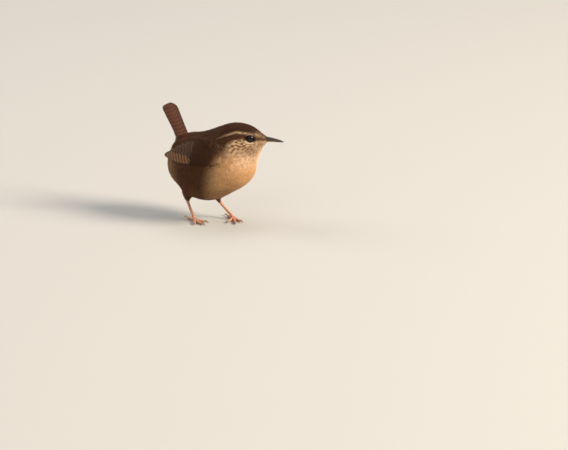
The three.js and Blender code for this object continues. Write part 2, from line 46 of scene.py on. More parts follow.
# the body's form: centre, radii, pitch in radians and how softly each form joins the last
bodyForms = {
    "trunk": [
        ((-2.6, 0, 33), (23.5, 18.4, 20.3), 0.44, 0),
        ((9.2, 0.5, 36.1), (18.6, 16.1, 15.3), -0.12, 5),
        ((-19.3, 0, 35.3), (15.4, 11, 10.5), 1.2, 6),
        ((11.7, 1.4, 46.4), (15.4, 13.1, 13), 0.38, 6),
    ],
    "head": [
        ((-14.5, 0, -0.8), (12.1, 8.1, 8.3), 0, 4),
        ((-7.4, 0, -1.5), (8.8, 4.8, 3.8), 0.22, 3),
        ((-12.5, 2.6, -3.1), (7.2, 6, 5.6), 0, 3),
        ((-12.5, -2.6, -3.1), (7.2, 6, 5.6), 0, 3),
        ((-10.9, 0, -7.8), (7.1, 6, 8.4), -0.54, 4),
    ],
    "headPlace": (33.4, 6.8, 52.3),
    "headTurn": 15,
    "headPitch": 3,
}


def unit(v):
    # v over its own length
    return v / np.maximum(np.linalg.norm(v, axis=-1, keepdims=True), 1e-9)


def smoothStep(low, high, x):
    # 3t^2 - 2t^3 of how far x lies between low and high
    t = np.clip((x - low) / (high - low), 0, 1)
    return t * t * (3 - 2 * t)


def within(*limits):
    # the product of a smooth step for each value, low and high
    share = 1
    for x, low, high in limits:
        share = share * smoothStep(low, high, x)
    return share


def bell(x, middle, width):
    # e to the minus square of how many widths x lies from the middle
    return np.exp(-(((x - middle) / width) ** 2))


def mix(a, b, t):
    # a plus t times the way from a to b
    return a + (b - a) * t


def joined(*parts):
    # the parts side by side as the last axis, each widened to the shape of all
    return np.stack(np.broadcast_arrays(*parts), -1)


def gridOf(a, b):
    # every pair of a and b, a down and b across
    return np.meshgrid(a, b, indexing="ij")


def turnsOf(count, shift=0.0):
    # even angles once round, the first one shift steps on
    return 2 * math.pi * (np.arange(count) + shift) / count


def polarsOf(count):
    # even angles from pole to pole, half a step off each
    return math.pi * (np.arange(count) + 0.5) / count


def alongSurface(ways, normals):
    # each way less its part along the normal, made one long
    return unit(ways - (ways * normals).sum(-1, keepdims=True) * normals)


def cornersOf(faces):
    # the corners of all faces in one row
    return np.concatenate([f.ravel() for f in faces])


sides = (("Left", 1), ("Right", -1))  # each side's name and the sign of y there

headPlace = np.array(bodyForms["headPlace"])
headTurn = math.radians(bodyForms["headTurn"])
headPitch = math.radians(bodyForms["headPitch"])
headForward = np.array([
    math.cos(headTurn) * math.cos(headPitch),
    math.sin(headTurn) * math.cos(headPitch),
    -math.sin(headPitch),
])
headLeft = np.array([-math.sin(headTurn), math.cos(headTurn), 0])
headAxes = np.stack([headForward, headLeft, np.cross(headForward, headLeft)])
billRoot = headPlace + 2 * headForward


def toHead(points):
    # forward, left and up of each point from the gape
    return (points - headPlace) @ headAxes.T


def fromHead(points):
    # back to the bird's frame from forward, left and up
    return np.asarray(points, float) @ headAxes + headPlace


# the eyes: place in the head's frame, the way they look, the lids' ring, the dish they lie in,
# tints as seen and the ball's gloss
eyes = {
    "place": (-8.3, 4.4, 0.8),
    "look": (0.27, 0.955, 0.12),
    "radius": 2.55,
    "lidRadius": 2.1,
    "lidTube": 0.16,
    "lidStand": 1.9,
    "lidLong": 1.06,
    "lidHigh": 0.96,
    "dishRadius": 2.35,
    "dishFlare": 0.62,
    "dishFloor": 1.75,
    "pupilTint": (8, 6, 6),
    "irisTint": (34, 19, 12),
    "lidTint": (20, 14, 11),
    "lidPale": (214, 190, 160),
    "roughness": 0.04,
    "ior": 1.38,
}


def eyeFrame(hand):
    # centre, and the rows ahead, over and out along the look
    place = np.array(eyes["place"]) * (1, hand, 1)
    look = unit(np.array(eyes["look"]) * (1, hand, 1))
    ahead = unit(np.array([1.0, 0, 0]) - look * look[0])
    over = np.cross(look, ahead) * -hand
    return fromHead(place), np.stack([ahead, over, look]) @ headAxes


eyeBox = np.array([list(corner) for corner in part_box("eye_left")])
shift = eyeBox.mean(axis=0) * 1000 - eyeFrame(1)[0]


def toMetres(points):
    # millimetres in the bird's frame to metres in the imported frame
    return (points + shift) * 0.001


def ellipsoidDistance(points, centre, radii, pitch):
    # with k the length of p over the radii, about k (k - 1) over the length of p / r^2
    d = points - np.array(centre, float)
    c, s = math.cos(pitch), math.sin(pitch)
    q = joined(c * d[..., 0] + s * d[..., 2], d[..., 1], c * d[..., 2] - s * d[..., 0])
    radii = np.array(radii, float)
    q = q / radii
    k = np.sqrt((q * q).sum(-1))
    q = q / radii
    return k * (k - 1) / np.maximum(np.sqrt((q * q).sum(-1)), 1e-9)


def smoothMin(a, b, blend):
    # the lesser of the two, lowered by blend / 4 where they are equal
    if blend <= 0:
        return np.minimum(a, b)
    near = np.maximum(blend - np.abs(a - b), 0) / blend
    return np.minimum(a, b) - near * near * blend * 0.25


def coreDistance(points):
    # trunk and head melted together
    value = None
    for centre, radii, tilt, blend in bodyForms["trunk"]:
        part = ellipsoidDistance(points, centre, radii, tilt)
        value = part if value is None else smoothMin(value, part, blend)
    inHead = toHead(points)
    for centre, radii, tilt, blend in bodyForms["head"]:
        value = smoothMin(value, ellipsoidDistance(inHead, centre, radii, tilt), blend)
    return value


# the legs: heel, middle of the foot, how far feathering runs past the heel, and the toes' bearings
legs = {
    "Right": {
        "hand": -1,
        "heel": (-15.2, -7.5, 15.6),
        "ball": (-7.7, -8.5, 1.1),
        "trousers": 4,
        "heading": -25,
        "hind": 162,
    },
    "Left": {
        "hand": 1,
        "heel": (-3.6, 6.4, 13.4),
        "ball": (8.8, 7.6, 1.1),
        "trousers": 3.2,
        "heading": -46,
        "hind": 156,
    },
}
thighRadii = (5.2, 4.3, 2.3, 1.25)


def thighPath(leg):
    # knee inside the body, shin, heel and the end of the feathering
    x, y, z = leg["heel"]
    lean = (leg["ball"][0] - x) * leg["trousers"] / (z - leg["ball"][2])
    places = [(x + 8, y, z + 8.5), (x + 4, y, z + 4.6), (x + 1, y, z + 0.6)]
    places.append((x + lean, y, z - leg["trousers"]))
    return np.array(places, float)


def thighDistance(points):
    # distance to each stretch of the leg less a radius that runs evenly along it
    value = None
    for leg in legs.values():
        places = thighPath(leg)
        for i in range(3):
            a, b = places[i], places[i + 1]
            t = np.clip((points - a) @ (b - a) / ((b - a) @ (b - a)), 0, 1)
            part = np.linalg.norm(points - a - t[..., None] * (b - a), axis=-1)
            part = part - mix(thighRadii[i], thighRadii[i + 1], t)
            value = part if value is None else smoothMin(value, part, 1)
    return value


def fromHem(points):
    # how far above the nearer leg's lower end of feathering
    ends = [thighPath(leg)[3] for leg in legs.values()]
    away = np.min([np.linalg.norm(points - end, axis=-1) for end in ends], axis=0)
    return away - thighRadii[3]


def dishDistance(points):
    # a cone that opens outwards round each eye: its radius grows with the height over the eye
    value = None
    for _, hand in sides:
        centre, rows = eyeFrame(hand)
        q = (points - centre) @ rows.T
        wide, over = np.hypot(q[..., 0], q[..., 1]), q[..., 2] - eyes["dishFloor"]
        part = (wide - eyes["dishRadius"] - eyes["dishFlare"] * over) * 0.85
        part = np.maximum(part, -over)
        value = part if value is None else np.minimum(value, part)
    return value


def bodyDistance(points):
    # the core with the thighs melted on and the eyes' dishes softly cut away
    value = smoothMin(coreDistance(points), thighDistance(points), 2.5)
    return -smoothMin(-value, dishDistance(points), 0.9)


def outward(points, distance):
    # unit slope of the distance, by small steps along each axis
    step = 0.02
    here = distance(points)
    slope = [distance(points + step * axis) - here for axis in np.eye(3)]
    return unit(np.stack(slope, -1))


def castInward(origin, ways, level, distance, far=60, rounds=40):
    # from far out along each way, steps back by four fifths of the distance left
    t = np.full(ways.shape[:-1], float(far))
    for _ in range(rounds):
        t = t - 0.8 * (distance(origin + ways * t[..., None]) - level)
    return origin + ways * t[..., None]


def curveThrough(places, t):
    # a cubic between each two places, bent by the places before and after them
    places = np.asarray(places, float)
    ends = np.concatenate([[2 * places[0] - places[1]], places, [2 * places[-1] - places[-2]]])
    u = np.clip(t, 0, 1) * (len(places) - 1)
    i = np.minimum(u.astype(int), len(places) - 2)
    u = (u - i)[..., None]
    a, b, c, d = ends[i], ends[i + 1], ends[i + 2], ends[i + 3]
    bend = (2 * a - 5 * b + 4 * c - d) * u ** 2 + (3 * b - a - 3 * c + d) * u ** 3
    return b + 0.5 * ((c - a) * u + bend)


# the folded wing's chart: x along the bird, rise as arc up the flank, level outwards
wingChart = {
    "centre": (-1, 0, 33.4),
    "radii": (33.6, 18.6, 21.5),
    "axis": 33.4,
    "radius": 18.5,
    "front": 17.5,
}


def wingDistance(points):
    # the core's distance melted with a long form that runs straight on past the rump
    part = ellipsoidDistance(points, wingChart["centre"], wingChart["radii"], 0)
    return smoothMin(coreDistance(points), part, 0.8)


def wingLow(x):
    # the wing's lower edge as rise: it goes up by the square of the way from x = -4
    return 2.8 + 0.011 * np.maximum(x + 4, 0) ** 2 + 0.004 * np.minimum(x + 4, 0) ** 2


def wingHigh(x):
    # the upper edge, which comes down by that square
    return 19 - 0.014 * np.maximum(x + 4, 0) ** 2 - 0.0165 * np.minimum(x + 4, 0) ** 2


def wingPlace(hand, x, rise, level):
    # casts from the bird's axis at x, up by rise / radius, to the level; the wing's upper edge
    # folds down onto the rump by as much as the chart stands off it
    x, rise, level = np.broadcast_arrays(x, rise, level)
    angle = rise / wingChart["radius"]
    ways = joined(0.0, hand * np.cos(angle), np.sin(angle))
    origin = joined(x, 0.0, wingChart["axis"])
    free = castInward(origin, ways, 0, wingDistance, rounds=22)
    stand = np.maximum(coreDistance(free) - 0.3, 0)
    fold = within((rise - wingHigh(x), -5.5, 0.5), (x, -27, -20))
    return castInward(origin, ways, level - fold * stand, wingDistance, rounds=22)


def underWing(points):
    # 1 where the folded wing lies over the place, falling to 0 over its last millimetre
    x, y, z = np.moveaxis(points, -1, 0)
    rise = wingChart["radius"] * np.arctan2(z - wingChart["axis"], np.abs(y))
    return within((rise - wingLow(x), 0, 1.2), (wingHigh(x) - rise, 0, 1.2),
                  (wingChart["front"] - x, 0, 1.5))


def eyeReach(points):
    # how far a place lies from the nearer eye's middle, across its look
    best = None
    for _, hand in sides:
        centre, rows = eyeFrame(hand)
        q = (points - centre) @ rows.T
        wide = np.hypot(q[..., 0] / eyes["lidLong"], q[..., 1] / eyes["lidHigh"])
        wide = np.where(q[..., 2] > -1, wide, 99)
        best = wide if best is None else np.minimum(best, wide)
    return best


coatDepths = {"trunk": 1.25, "head": 0.75, "bill": 0.3, "eye": 0.3, "leg": 0.45, "underWing": 2.6}


def coatDepth(points):
    # how far the skin lies under the plumage's outer face, one depth melted into the next
    f = toHead(points)[..., 0]
    depth = mix(coatDepths["trunk"], coatDepths["head"], smoothStep(-26, -14, f))
    depth = mix(depth, coatDepths["bill"], smoothStep(-4, 0.5, f))
    depth = mix(depth, coatDepths["eye"], smoothStep(4.5, 2.6, eyeReach(points)))
    depth = mix(depth, coatDepths["leg"], smoothStep(17, 13.5, points[..., 2]))
    return mix(depth, coatDepths["underWing"], underWing(points))


# the tail's axis, up and back from its base, and the way its upper face looks
tailBase = np.array([-17.5, 0, 40.5])
tailRise = math.radians(60.3)
tailAlong = np.array([-math.cos(tailRise), 0, math.sin(tailRise)])
tailUpper = np.array([math.sin(tailRise), 0, math.cos(tailRise)])

# colours as seen, 0 to 255
plumeColours = {
    "mantle": (80, 48, 29),
    "crown": (78, 45, 26),
    "forehead": (116, 70, 40),
    "nape": (80, 50, 30),
    "rump": (92, 52, 27),
    "flank": (92, 58, 33),
    "belly": (122, 82, 47),
    "vent": (106, 68, 40),
    "breast": (220, 174, 124),
    "throat": (250, 222, 186),
    "supercilium": (222, 190, 152),
    "eyeStripe": (76, 47, 30),
    "cheek": (228, 194, 154),
    "rust": (100, 57, 31),
    "eyeRing": (240, 216, 184),
    "tips": (224, 198, 164),
    "ventTips": (172, 134, 94),
    "undertail": (150, 112, 76),
    "dusk": (48, 30, 20),
    "thigh": (112, 78, 50),
    "wing": (78, 48, 29),
    "wingPale": (132, 92, 60),
    "tail": (79, 37, 16),
    # painted shade for the rims of the tail's feathers
    "tailEdgeShade": (48, 28, 18),
}


def linear(colour):
    # the display colour undone to light
    c = np.array(colour, float) / 255
    return np.where(c <= 0.04045, c / 12.92, ((c + 0.055) / 1.055) ** 2.4)


def plume(name):
    # one of the plumage's colours as light
    return linear(plumeColours[name])


def cheekSpots(h, chance):
    # spots drawn out along the lie: a sine of the bearing round the bill, bent by the distance
    # from it, plus a slower sine of that distance
    bearing = np.arctan2(h[..., 2], np.abs(h[..., 1]))
    away = np.linalg.norm(h, axis=-1)
    lines = np.sin(40 * bearing + 1.7 * np.sin(0.9 * away))
    rows = np.sin(2.0 * away + 8 * bearing + 2 * np.sin(13 * bearing))
    return smoothStep(-0.35, 0.55, 0.75 * lines + 0.6 * rows + 0.7 * (chance - 0.5))


def plumeMarks(points, normals, chance):
    # colours of each feather's middle and rim, and how strongly it is barred and streaked:
    # layers laid one over another, each mask a smooth function of the place on the body
    h = toHead(points)
    f, side, u = h[..., 0], np.abs(h[..., 1]), h[..., 2]
    x, z = points[..., 0], points[..., 2]
    inner = np.broadcast_to(plume("mantle"), points.shape).copy()
    rim = inner * 0.8

    def lay(name, share, rimName=None, rimGain=0.85):
        # the rim takes a colour of its own, or the layer's times the gain
        nonlocal inner, rim
        colour = plume(name)
        edge = colour * rimGain if rimName is None else plume(rimName)
        inner = mix(inner, colour, share[..., None])
        rim = mix(rim, edge, share[..., None])

    # back, flanks, belly and under the tail
    lay("rump", smoothStep(-8, -20, x))
    under = smoothStep(5, -2, z - 37.4 + 3 * smoothStep(-5, -25, x))
    lay("flank", under)
    lay("belly", under * within((-normals[..., 2], 0.3, 0.95), (x, -22, -8)))
    lay("vent", under * smoothStep(-12, -26, x), "ventTips")
    below = (points - tailBase) @ tailUpper
    behind = within((below, -1, -4), (x, -20, -26), (z, 34, 40))
    lay("undertail", behind, "tips")
    lay("thigh", smoothStep(17, 14.5, z))
    # nape, crown and forehead
    onHead = within((f, -30, -20), (u, -9, -3))
    lay("nape", within((f, -34, -24), (u, -13, -6), (side, 5, 9)))
    lay("crown", onHead, rimGain=0.72)
    lay("forehead", 0.8 * onHead * smoothStep(-9, -3, f), "crown")
    fleck = within((f, -11, -5), (u, 5.4, 3.4)) * (chance > 0.62)
    rim = mix(rim, plume("supercilium"), 0.5 * fleck[..., None])
    # breast and throat
    edge = np.interp(z, [14, 20, 30, 36, 40, 43, 48, 54], [5, 8, 10.5, 12.5, 15, 17, 20.5, 24])
    front = smoothStep(-7.5, 5.5, x - edge)
    front = front * smoothStep(0.5, -1.5, u - np.interp(f, [-22, -16, -6, 0], [-4, -3, -3, 0]))
    lay("breast", front, rimGain=1.1)
    bib = front * within((u, -22, -8), (f + 0.3 * side, -14, -5))
    lay("throat", bib, rimGain=1.06)
    lay("belly", 0.5 * front * smoothStep(27, 18, z))
    speckle = 0.45 * front * within((side, 1.5, 4), (z, 32, 42))
    speckle = speckle * cheekSpots(h * 0.8, chance)
    rim = mix(rim, 2 * plume("rust"), speckle[..., None])
    # cheek and side of the neck
    nearNeck = within((f, -31, -22), (u, -14, -8), (side, 6, 9))
    nearNeck = nearNeck * smoothStep(-1, -4, u)
    lay("cheek", 0.5 * nearNeck * (chance > 0.62), "nape")
    cheek = within((f, -21.5, -16.5), (side, 2, 3.6), (u, -11.5, -7))
    top = np.interp(f, [-21, -16, -11, -6, 0], [-2.6, 0, 1, 0.4, 0])
    cheek = cheek * smoothStep(0.8, -0.8, u - top)
    dusky = (0.5 + 0.5 * smoothStep(-9, -3, u)) * mix(1, 0.5, smoothStep(-7, -3, f))
    lay("cheek", cheek)
    rust = plume("rust")
    spots = cheekSpots(h, chance)
    rim = mix(rim, rust, (0.95 * cheek * dusky * spots)[..., None])
    inner = mix(inner, rust, (0.85 * cheek * dusky * spots)[..., None])
    # the dark line through the eye and the pale one over it
    line = np.interp(f, [-27, -21, -16, -11, -7], [-3, -0.3, 1.7, 2.4, 1.2])
    stripe = bell(u, line, 1.1) * smoothStep(4, 6.5, side)
    stripe = stripe * within((f, -27, -22), (f, -8, -10.5))
    lay("eyeStripe", 0.9 * stripe)
    lay("rust", 0.8 * stripe * (chance > 0.72), rimGain=1.5)
    lore = bell(u, 0.55, 0.5) * within((f, -7.5, -5.5), (f, 0.6, -0.8))
    lay("rust", 0.85 * lore * smoothStep(0.8, 1.8, side))
    brow = np.interp(f, [-28, -22, -16, -12, -8, -4, 0], [-1.2, 1.9, 4.2, 4.1, 3.7, 3.0, 1.7])
    brow = bell(u, brow, 0.5) * smoothStep(1.2, 2.4, side) * mix(0.6, 1, smoothStep(-5, -9, f))
    brow = brow * within((f, -29, -18), (f, 1, -1))
    lay("supercilium", brow * (0.5 + 0.4 * (chance > 0.3)))
    over = np.interp(f, [-28, -22, -16, -12, -8, -4, 0], [0.6, 3.7, 6, 5.8, 5.2, 4.3, 2.6])
    lay("dusk", 0.45 * bell(u, over, 0.8) * within((side, 1.5, 3), (f, -24, -14)))
    # the rings round the lids: a dark ring of painted shade in the gap round each lid, a pale
    # crescent below and a pale arc above
    reach = eyeReach(points)
    height = u - eyes["place"][2] + 0.15 * (f - eyes["place"][0])
    # painted shade: the feathers nearest each lid darkened with the eye stripe's colour
    ring = smoothStep(3.9, 3.2, reach)
    lay("eyeStripe", ring * 0.75)
    lay("eyeRing", within((reach, 3.5, 3.1), (height, -0.9, -1.5)), rimGain=1)
    lay("supercilium", 0.55 * within((reach, 3.2, 2.8), (height, 1.3, 2)))
    # bars and streaks
    patches = 0.55 + 0.45 * np.sin(1.3 * x + 0.8 * z + 5 * chance)
    bars = mix(0.4, 0.8, under * smoothStep(12, -10, x)) * patches
    bars = np.maximum(mix(bars, 0.5, smoothStep(-8, -20, x) * (1 - under)), 0)
    bars = bars * (1 - front) * (1 - 0.7 * onHead) * (1 - cheek)
    streak = 0.55 * front * (1 - 0.5 * cheek) + 0.4 * onHead * (1 - brow) * (1 - cheek)
    return inner, rim, bars, streak


def placeFaces(rings, around, wrapped=False):
    # quads between each closed ring and the next, the last and the first too where wrapped;
    # also the ring and place of every corner
    last = rings if wrapped else rings - 1
    r, k = (v.ravel() for v in gridOf(np.arange(last), np.arange(around)))
    n = (k + 1) % around
    low, high = r * around, (r + 1) % rings * around
    faces = np.stack([low + k, low + n, high + n, high + k], 1)
    places = np.stack([np.stack([r, r, r + 1, r + 1], 1), np.stack([k, k + 1, k + 1, k], 1)], -1)
    return faces, places


def closedTubes(rings):
    # rings: tubes x rings x around x 3; every tube closed by a fan to a point at each end
    tubes, count, around, _ = rings.shape
    ends = rings[:, [0, -1]].mean(axis=2)
    points = np.concatenate([rings.reshape(tubes, -1, 3), ends], 1)
    size = count * around + 2
    quads, places = placeFaces(count, around)
    k = np.arange(around)
    n = (k + 1) % around
    top = (count - 1) * around
    first = np.stack([n, k, np.full(around, size - 2)], 1)
    last = np.stack([top + k, top + n, np.full(around, size - 1)], 1)
    firstPlaces = joined(0.0, np.stack([k + 1, k, k + 0.5], 1))
    lastPlaces = joined(count - 1.0, np.stack([k, k + 1, k + 0.5], 1))
    firstPlaces[:, 2, 0] = -0.5
    lastPlaces[:, 2, 0] = count - 0.5
    offsets = (np.arange(tubes) * size)[:, None, None]
    quads = (quads[None] + offsets).reshape(-1, 4)
    fans = (np.concatenate([first, last])[None] + offsets).reshape(-1, 3)
    spots = np.concatenate([firstPlaces, lastPlaces])
    quadPlaces = np.broadcast_to(places[None], (tubes, *places.shape))
    fanPlaces = np.broadcast_to(spots[None], (tubes, *spots.shape))
    return points.reshape(-1, 3), [quads, fans], quadPlaces, fanPlaces


def tubeMaps(quadPlaces, fanPlaces, makeMap):
    # the map of every corner from its tube, ring and place round
    out = []
    for places in (quadPlaces, fanPlaces):
        tube = np.broadcast_to(np.arange(len(places))[:, None, None], places.shape[:3])
        out.append(makeMap(tube, places[..., 0], places[..., 1]).reshape(-1, 2))
    return np.concatenate(out)


def atlasMap(tubes, count, around, columns):
    # each tube's wall in a cell of its own, ring upwards and place round across
    rows = math.ceil(tubes / columns)

    def cell(tube, ring, k):
        # a tube's place in the table of cells plus a ring's and a place's share of its cell
        u = (tube % columns + 0.04 + 0.92 * k / around) / columns
        v = (tube // columns + 0.05 + 0.9 * (ring + 0.5) / count) / rows
        return joined(u, v)

    return cell


def perPoint(numbers, tubes, count, around):
    # a value for every tube, ring and place round, given to every point of closedTubes
    full = np.broadcast_to(np.asarray(numbers, float), (tubes, count, around))
    ends = full[:, [0, -1]].mean(axis=2)
    return np.concatenate([full.reshape(tubes, -1), ends], 1).ravel()


def tintPerPoint(tints, tubes, count, around):
    # the same for a colour
    tints = np.broadcast_to(tints, (tubes, count, around, 3))
    return np.stack([perPoint(tints[..., i], tubes, count, around) for i in range(3)], -1)


def innerVolume(points, faces):
    # a sixth of the sum of each triangle's a . (b x c), every face split in a fan
    total = 0.0
    for group in faces:
        for k in range(1, group.shape[1] - 1):
            a, b, c = points[group[:, 0]], points[group[:, k]], points[group[:, k + 1]]
            total += (a * np.cross(b, c)).sum() / 6
    return total


def makePiece(name, points, faces, maps=None, values=None, closed=True):
    # points in millimetres; faces are arrays of corners; maps hold a pair for every corner of
    # every face in order, values a number or a colour for every point; a closed piece whose
    # faces hold less than nothing is turned right side out
    counts = np.concatenate([np.full(len(f), f.shape[1]) for f in faces])
    corners = cornersOf(faces)
    mesh = bpy.data.meshes.new(name)
    mesh.vertices.add(len(points))
    mesh.vertices.foreach_set("co", toMetres(points).astype(np.float32).ravel())
    mesh.loops.add(len(corners))
    mesh.loops.foreach_set("vertex_index", corners.astype(np.int32))
    mesh.polygons.add(len(counts))
    starts = np.concatenate([[0], np.cumsum(counts)[:-1]])
    mesh.polygons.foreach_set("loop_start", starts.astype(np.int32))
    mesh.polygons.foreach_set("loop_total", counts.astype(np.int32))
    mesh.polygons.foreach_set("use_smooth", np.ones(len(counts), bool))
    mesh.update(calc_edges=True)
    for key, pairs in (maps or {}).items():
        mesh.uv_layers.new(name=key).data.foreach_set("uv", pairs.astype(np.float32).ravel())
    for key, numbers in (values or {}).items():
        if numbers.ndim == 1:
            layer = mesh.attributes.new(key, "FLOAT", "POINT")
            layer.data.foreach_set("value", numbers.astype(np.float32))
        else:
            layer = mesh.attributes.new(key, "FLOAT_COLOR", "POINT")
            full = np.concatenate([numbers, np.ones((len(numbers), 1))], 1)
            layer.data.foreach_set("color", full.astype(np.float32).ravel())
    if closed and innerVolume(points, faces) < 0:
        mesh.flip_normals()
    mesh.validate()
    piece = bpy.data.objects.new(name, mesh)
    bpy.context.scene.collection.objects.link(piece)
    return piece


def finishPiece(piece, material, replaced=()):
    # every piece rides on the one body
    piece.data.materials.append(material)
    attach(piece, "root")
    if replaced:
        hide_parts(*replaced)
    return piece


def tubePiece(name, rings, tints, material, replaced=(), columns=1):
    # closed tubes in one mesh, with a tint for every tube, ring and place round
    tubes, count, around, _ = rings.shape
    points, faces, quadPlaces, fanPlaces = closedTubes(rings)
    cells = tubeMaps(quadPlaces, fanPlaces, atlasMap(tubes, count, around, columns))
    tints = tintPerPoint(tints, tubes, count, around)
    piece = makePiece(name, points, faces, {"OFBake": cells}, {"tint": tints})
    return finishPiece(piece, material, replaced)


def nodesOf(tree):
    # the adder of one tree
    def add(kind, **settings):
        # adds a node, sets what is named and links or fills its inputs
        node = tree.nodes.new(kind)
        inputs = settings.pop("inputs", {})
        for key, value in settings.items():
            setattr(node, key, value)
        for key, value in inputs.items():
            if isinstance(value, bpy.types.NodeSocket):
                tree.links.new(value, node.inputs[key])
            else:
                node.inputs[key].default_value = value
        return node

    return add


def makeGroup(name, inputs, outputs):
    # a shader node group with its sockets; returns tree, adder, inputs and outputs
    tree = bpy.data.node_groups.new(name, "ShaderNodeTree")
    for way, sockets in (("INPUT", inputs), ("OUTPUT", outputs)):
        for label, kind in sockets:
            tree.interface.new_socket(name=label, in_out=way, socket_type="NodeSocket" + kind)
    add = nodesOf(tree)
    return tree, add, add("NodeGroupInput"), add("NodeGroupOutput")


def calc(add, operation, a, b=0.0, c=None):
    # one step of arithmetic
    inputs = {0: a, 1: b}
    if c is not None:
        inputs[2] = c
    return add("ShaderNodeMath", operation=operation, inputs=inputs).outputs[0]


def ramp(add, value, low, high):
    # the smooth step of a value between low and high
    inputs = {"Value": value, "From Min": low, "From Max": high}
    return add("ShaderNodeMapRange", interpolation_type="SMOOTHSTEP", inputs=inputs).outputs[0]


def blendTints(add, share, a, b, how="MIX"):
    # from tint a towards b, or a darkened by b
    inputs = {0: share, 6: a, 7: b}
    return add("ShaderNodeMix", data_type="RGBA", blend_type=how, inputs=inputs).outputs[2]


def noise(add, scale, detail):
    # noise of the place in the object
    place = add("ShaderNodeTexCoord").outputs["Object"]
    inputs = {"Vector": place, "Scale": scale, "Detail": detail}
    return add("ShaderNodeTexNoise", inputs=inputs).outputs[0]


def greyOf(add, shade):
    # a grey as light as the value
    return add("ShaderNodeCombineXYZ", inputs={0: shade, 1: shade, 2: shade}).outputs[0]


vaneSpan = 50.0  # millimetres to one unit of the map named vane
fullTurn = 6.2832
noiseScales = {"speck": 1400.0, "broad": 190.0, "fibre": 4000.0}
surfaceSockets = [("Color", "Color"), ("Height", "Float"), ("Roughness", "Float")]


def buildVaneGroup():
    # with a the millimetres from the shaft and l those along it: barbs are a fine sine of
    # l + 0.9 a, bars a softened sine of l + 0.2 a and noise, broken by finer noise, and the
    # streak is a bell over the shaft
    numbers = ("Bars", "Streak", "Bar length", "Bar fill", "Barb length", "Waver", "Mottle")
    sockets = [("Tint", "Color"), ("Bar tint", "Color"), ("Vane", "Vector")]
    sockets += [(label, "Float") for label in numbers]
    tree, add, source, sink = makeGroup("vaneMarks", sockets, surfaceSockets)
    given = source.outputs

    def wave(value, length):
        # a sine of the value over the length
        turns = calc(add, "DIVIDE", calc(add, "MULTIPLY", value, fullTurn), length)
        return calc(add, "SINE", turns)

    split = add("ShaderNodeSeparateXYZ", inputs={0: given["Vane"]})
    across = calc(add, "ABSOLUTE", calc(add, "SUBTRACT", split.outputs[0], 0.5))
    across = calc(add, "MULTIPLY", across, vaneSpan)
    along = calc(add, "MULTIPLY", split.outputs[1], vaneSpan)
    speck = noise(add, noiseScales["speck"], 4.0)
    broad = noise(add, noiseScales["broad"], 3.0)
    slant = calc(add, "MULTIPLY_ADD", across, 0.9, along)
    barbs = wave(slant, given["Barb length"])
    drift = calc(add, "SUBTRACT", broad, 0.5)
    wavy = calc(add, "MULTIPLY_ADD", drift, given["Waver"], along)
    wavy = calc(add, "MULTIPLY_ADD", across, 0.2, wavy)
    patch = calc(add, "SUBTRACT", speck, 0.5)
    bar = calc(add, "MULTIPLY_ADD", patch, given["Mottle"], wave(wavy, given["Bar length"]))
    full = calc(add, "ADD", given["Bar fill"], 0.45)
    bar = ramp(add, bar, given["Bar fill"], full)
    bar = calc(add, "MULTIPLY", bar, given["Bars"])
    barred = blendTints(add, bar, given["Tint"], given["Bar tint"])
    line = ramp(add, across, 0.22, 0.04)
    line = calc(add, "MULTIPLY", line, given["Streak"])
    rust = blendTints(add, 1.0, given["Tint"], (0.42, 0.27, 0.17, 1), "MULTIPLY")
    streaked = blendTints(add, line, barred, rust)
    shade = calc(add, "MULTIPLY_ADD", speck, 0.7, 0.62)
    shade = calc(add, "MULTIPLY_ADD", barbs, 0.09, shade)
    shade = calc(add, "MULTIPLY_ADD", broad, 0.1, shade)
    shaded = blendTints(add, 1.0, streaked, greyOf(add, shade), "MULTIPLY")
    tree.links.new(shaded, sink.inputs["Color"])
    tree.links.new(calc(add, "MULTIPLY_ADD", barbs, 0.5, 0.5), sink.inputs["Height"])
    tree.links.new(calc(add, "MULTIPLY_ADD", speck, 0.25, 0.52), sink.inputs["Roughness"])
    return tree


def buildGrainGroup():
    # fine grain times broad patches, both noise of the place in the object
    sockets = [("Tint", "Color"), ("Dark", "Color"), ("Scale", "Float"), ("Amount", "Float")]
    tree, add, source, sink = makeGroup("fineGrain", sockets, surfaceSockets)
    scale = source.outputs["Scale"]
    fine = noise(add, scale, 5.0)
    patch = noise(add, calc(add, "MULTIPLY", scale, 0.22), 2.0)
    share = ramp(add, calc(add, "MULTIPLY", fine, patch), 0.18, 0.36)
    share = calc(add, "MULTIPLY", share, source.outputs["Amount"])
    tint = blendTints(add, share, source.outputs["Tint"], source.outputs["Dark"])
    tree.links.new(tint, sink.inputs["Color"])
    tree.links.new(fine, sink.inputs["Height"])
    tree.links.new(calc(add, "MULTIPLY_ADD", fine, 0.3, 0.26), sink.inputs["Roughness"])
    return tree


vaneGroup = buildVaneGroup()
grainGroup = buildGrainGroup()


def newMaterial(name):
    # a material with one shader; returns it with its tree, adder and shader
    material = bpy.data.materials.new(name)
    material.use_nodes = True
    tree = material.node_tree
    tree.nodes.clear()
    add = nodesOf(tree)
    shader = add("ShaderNodeBsdfPrincipled")
    output = add("ShaderNodeOutputMaterial")
    tree.links.new(shader.outputs[0], output.inputs[0])
    return material, tree, add, shader


def connect(tree, add, shader, marks, look, distance):
    # a group's colour, roughness and height to the shader
    bump = add("ShaderNodeBump", inputs={
        "Height": marks.outputs["Height"], "Strength": look["relief"], "Distance": distance})
    tree.links.new(marks.outputs["Color"], shader.inputs["Base Color"])
    tree.links.new(marks.outputs["Roughness"], shader.inputs["Roughness"])
    tree.links.new(bump.outputs[0], shader.inputs["Normal"])
    shader.inputs["Specular IOR Level"].default_value = look["gloss"]


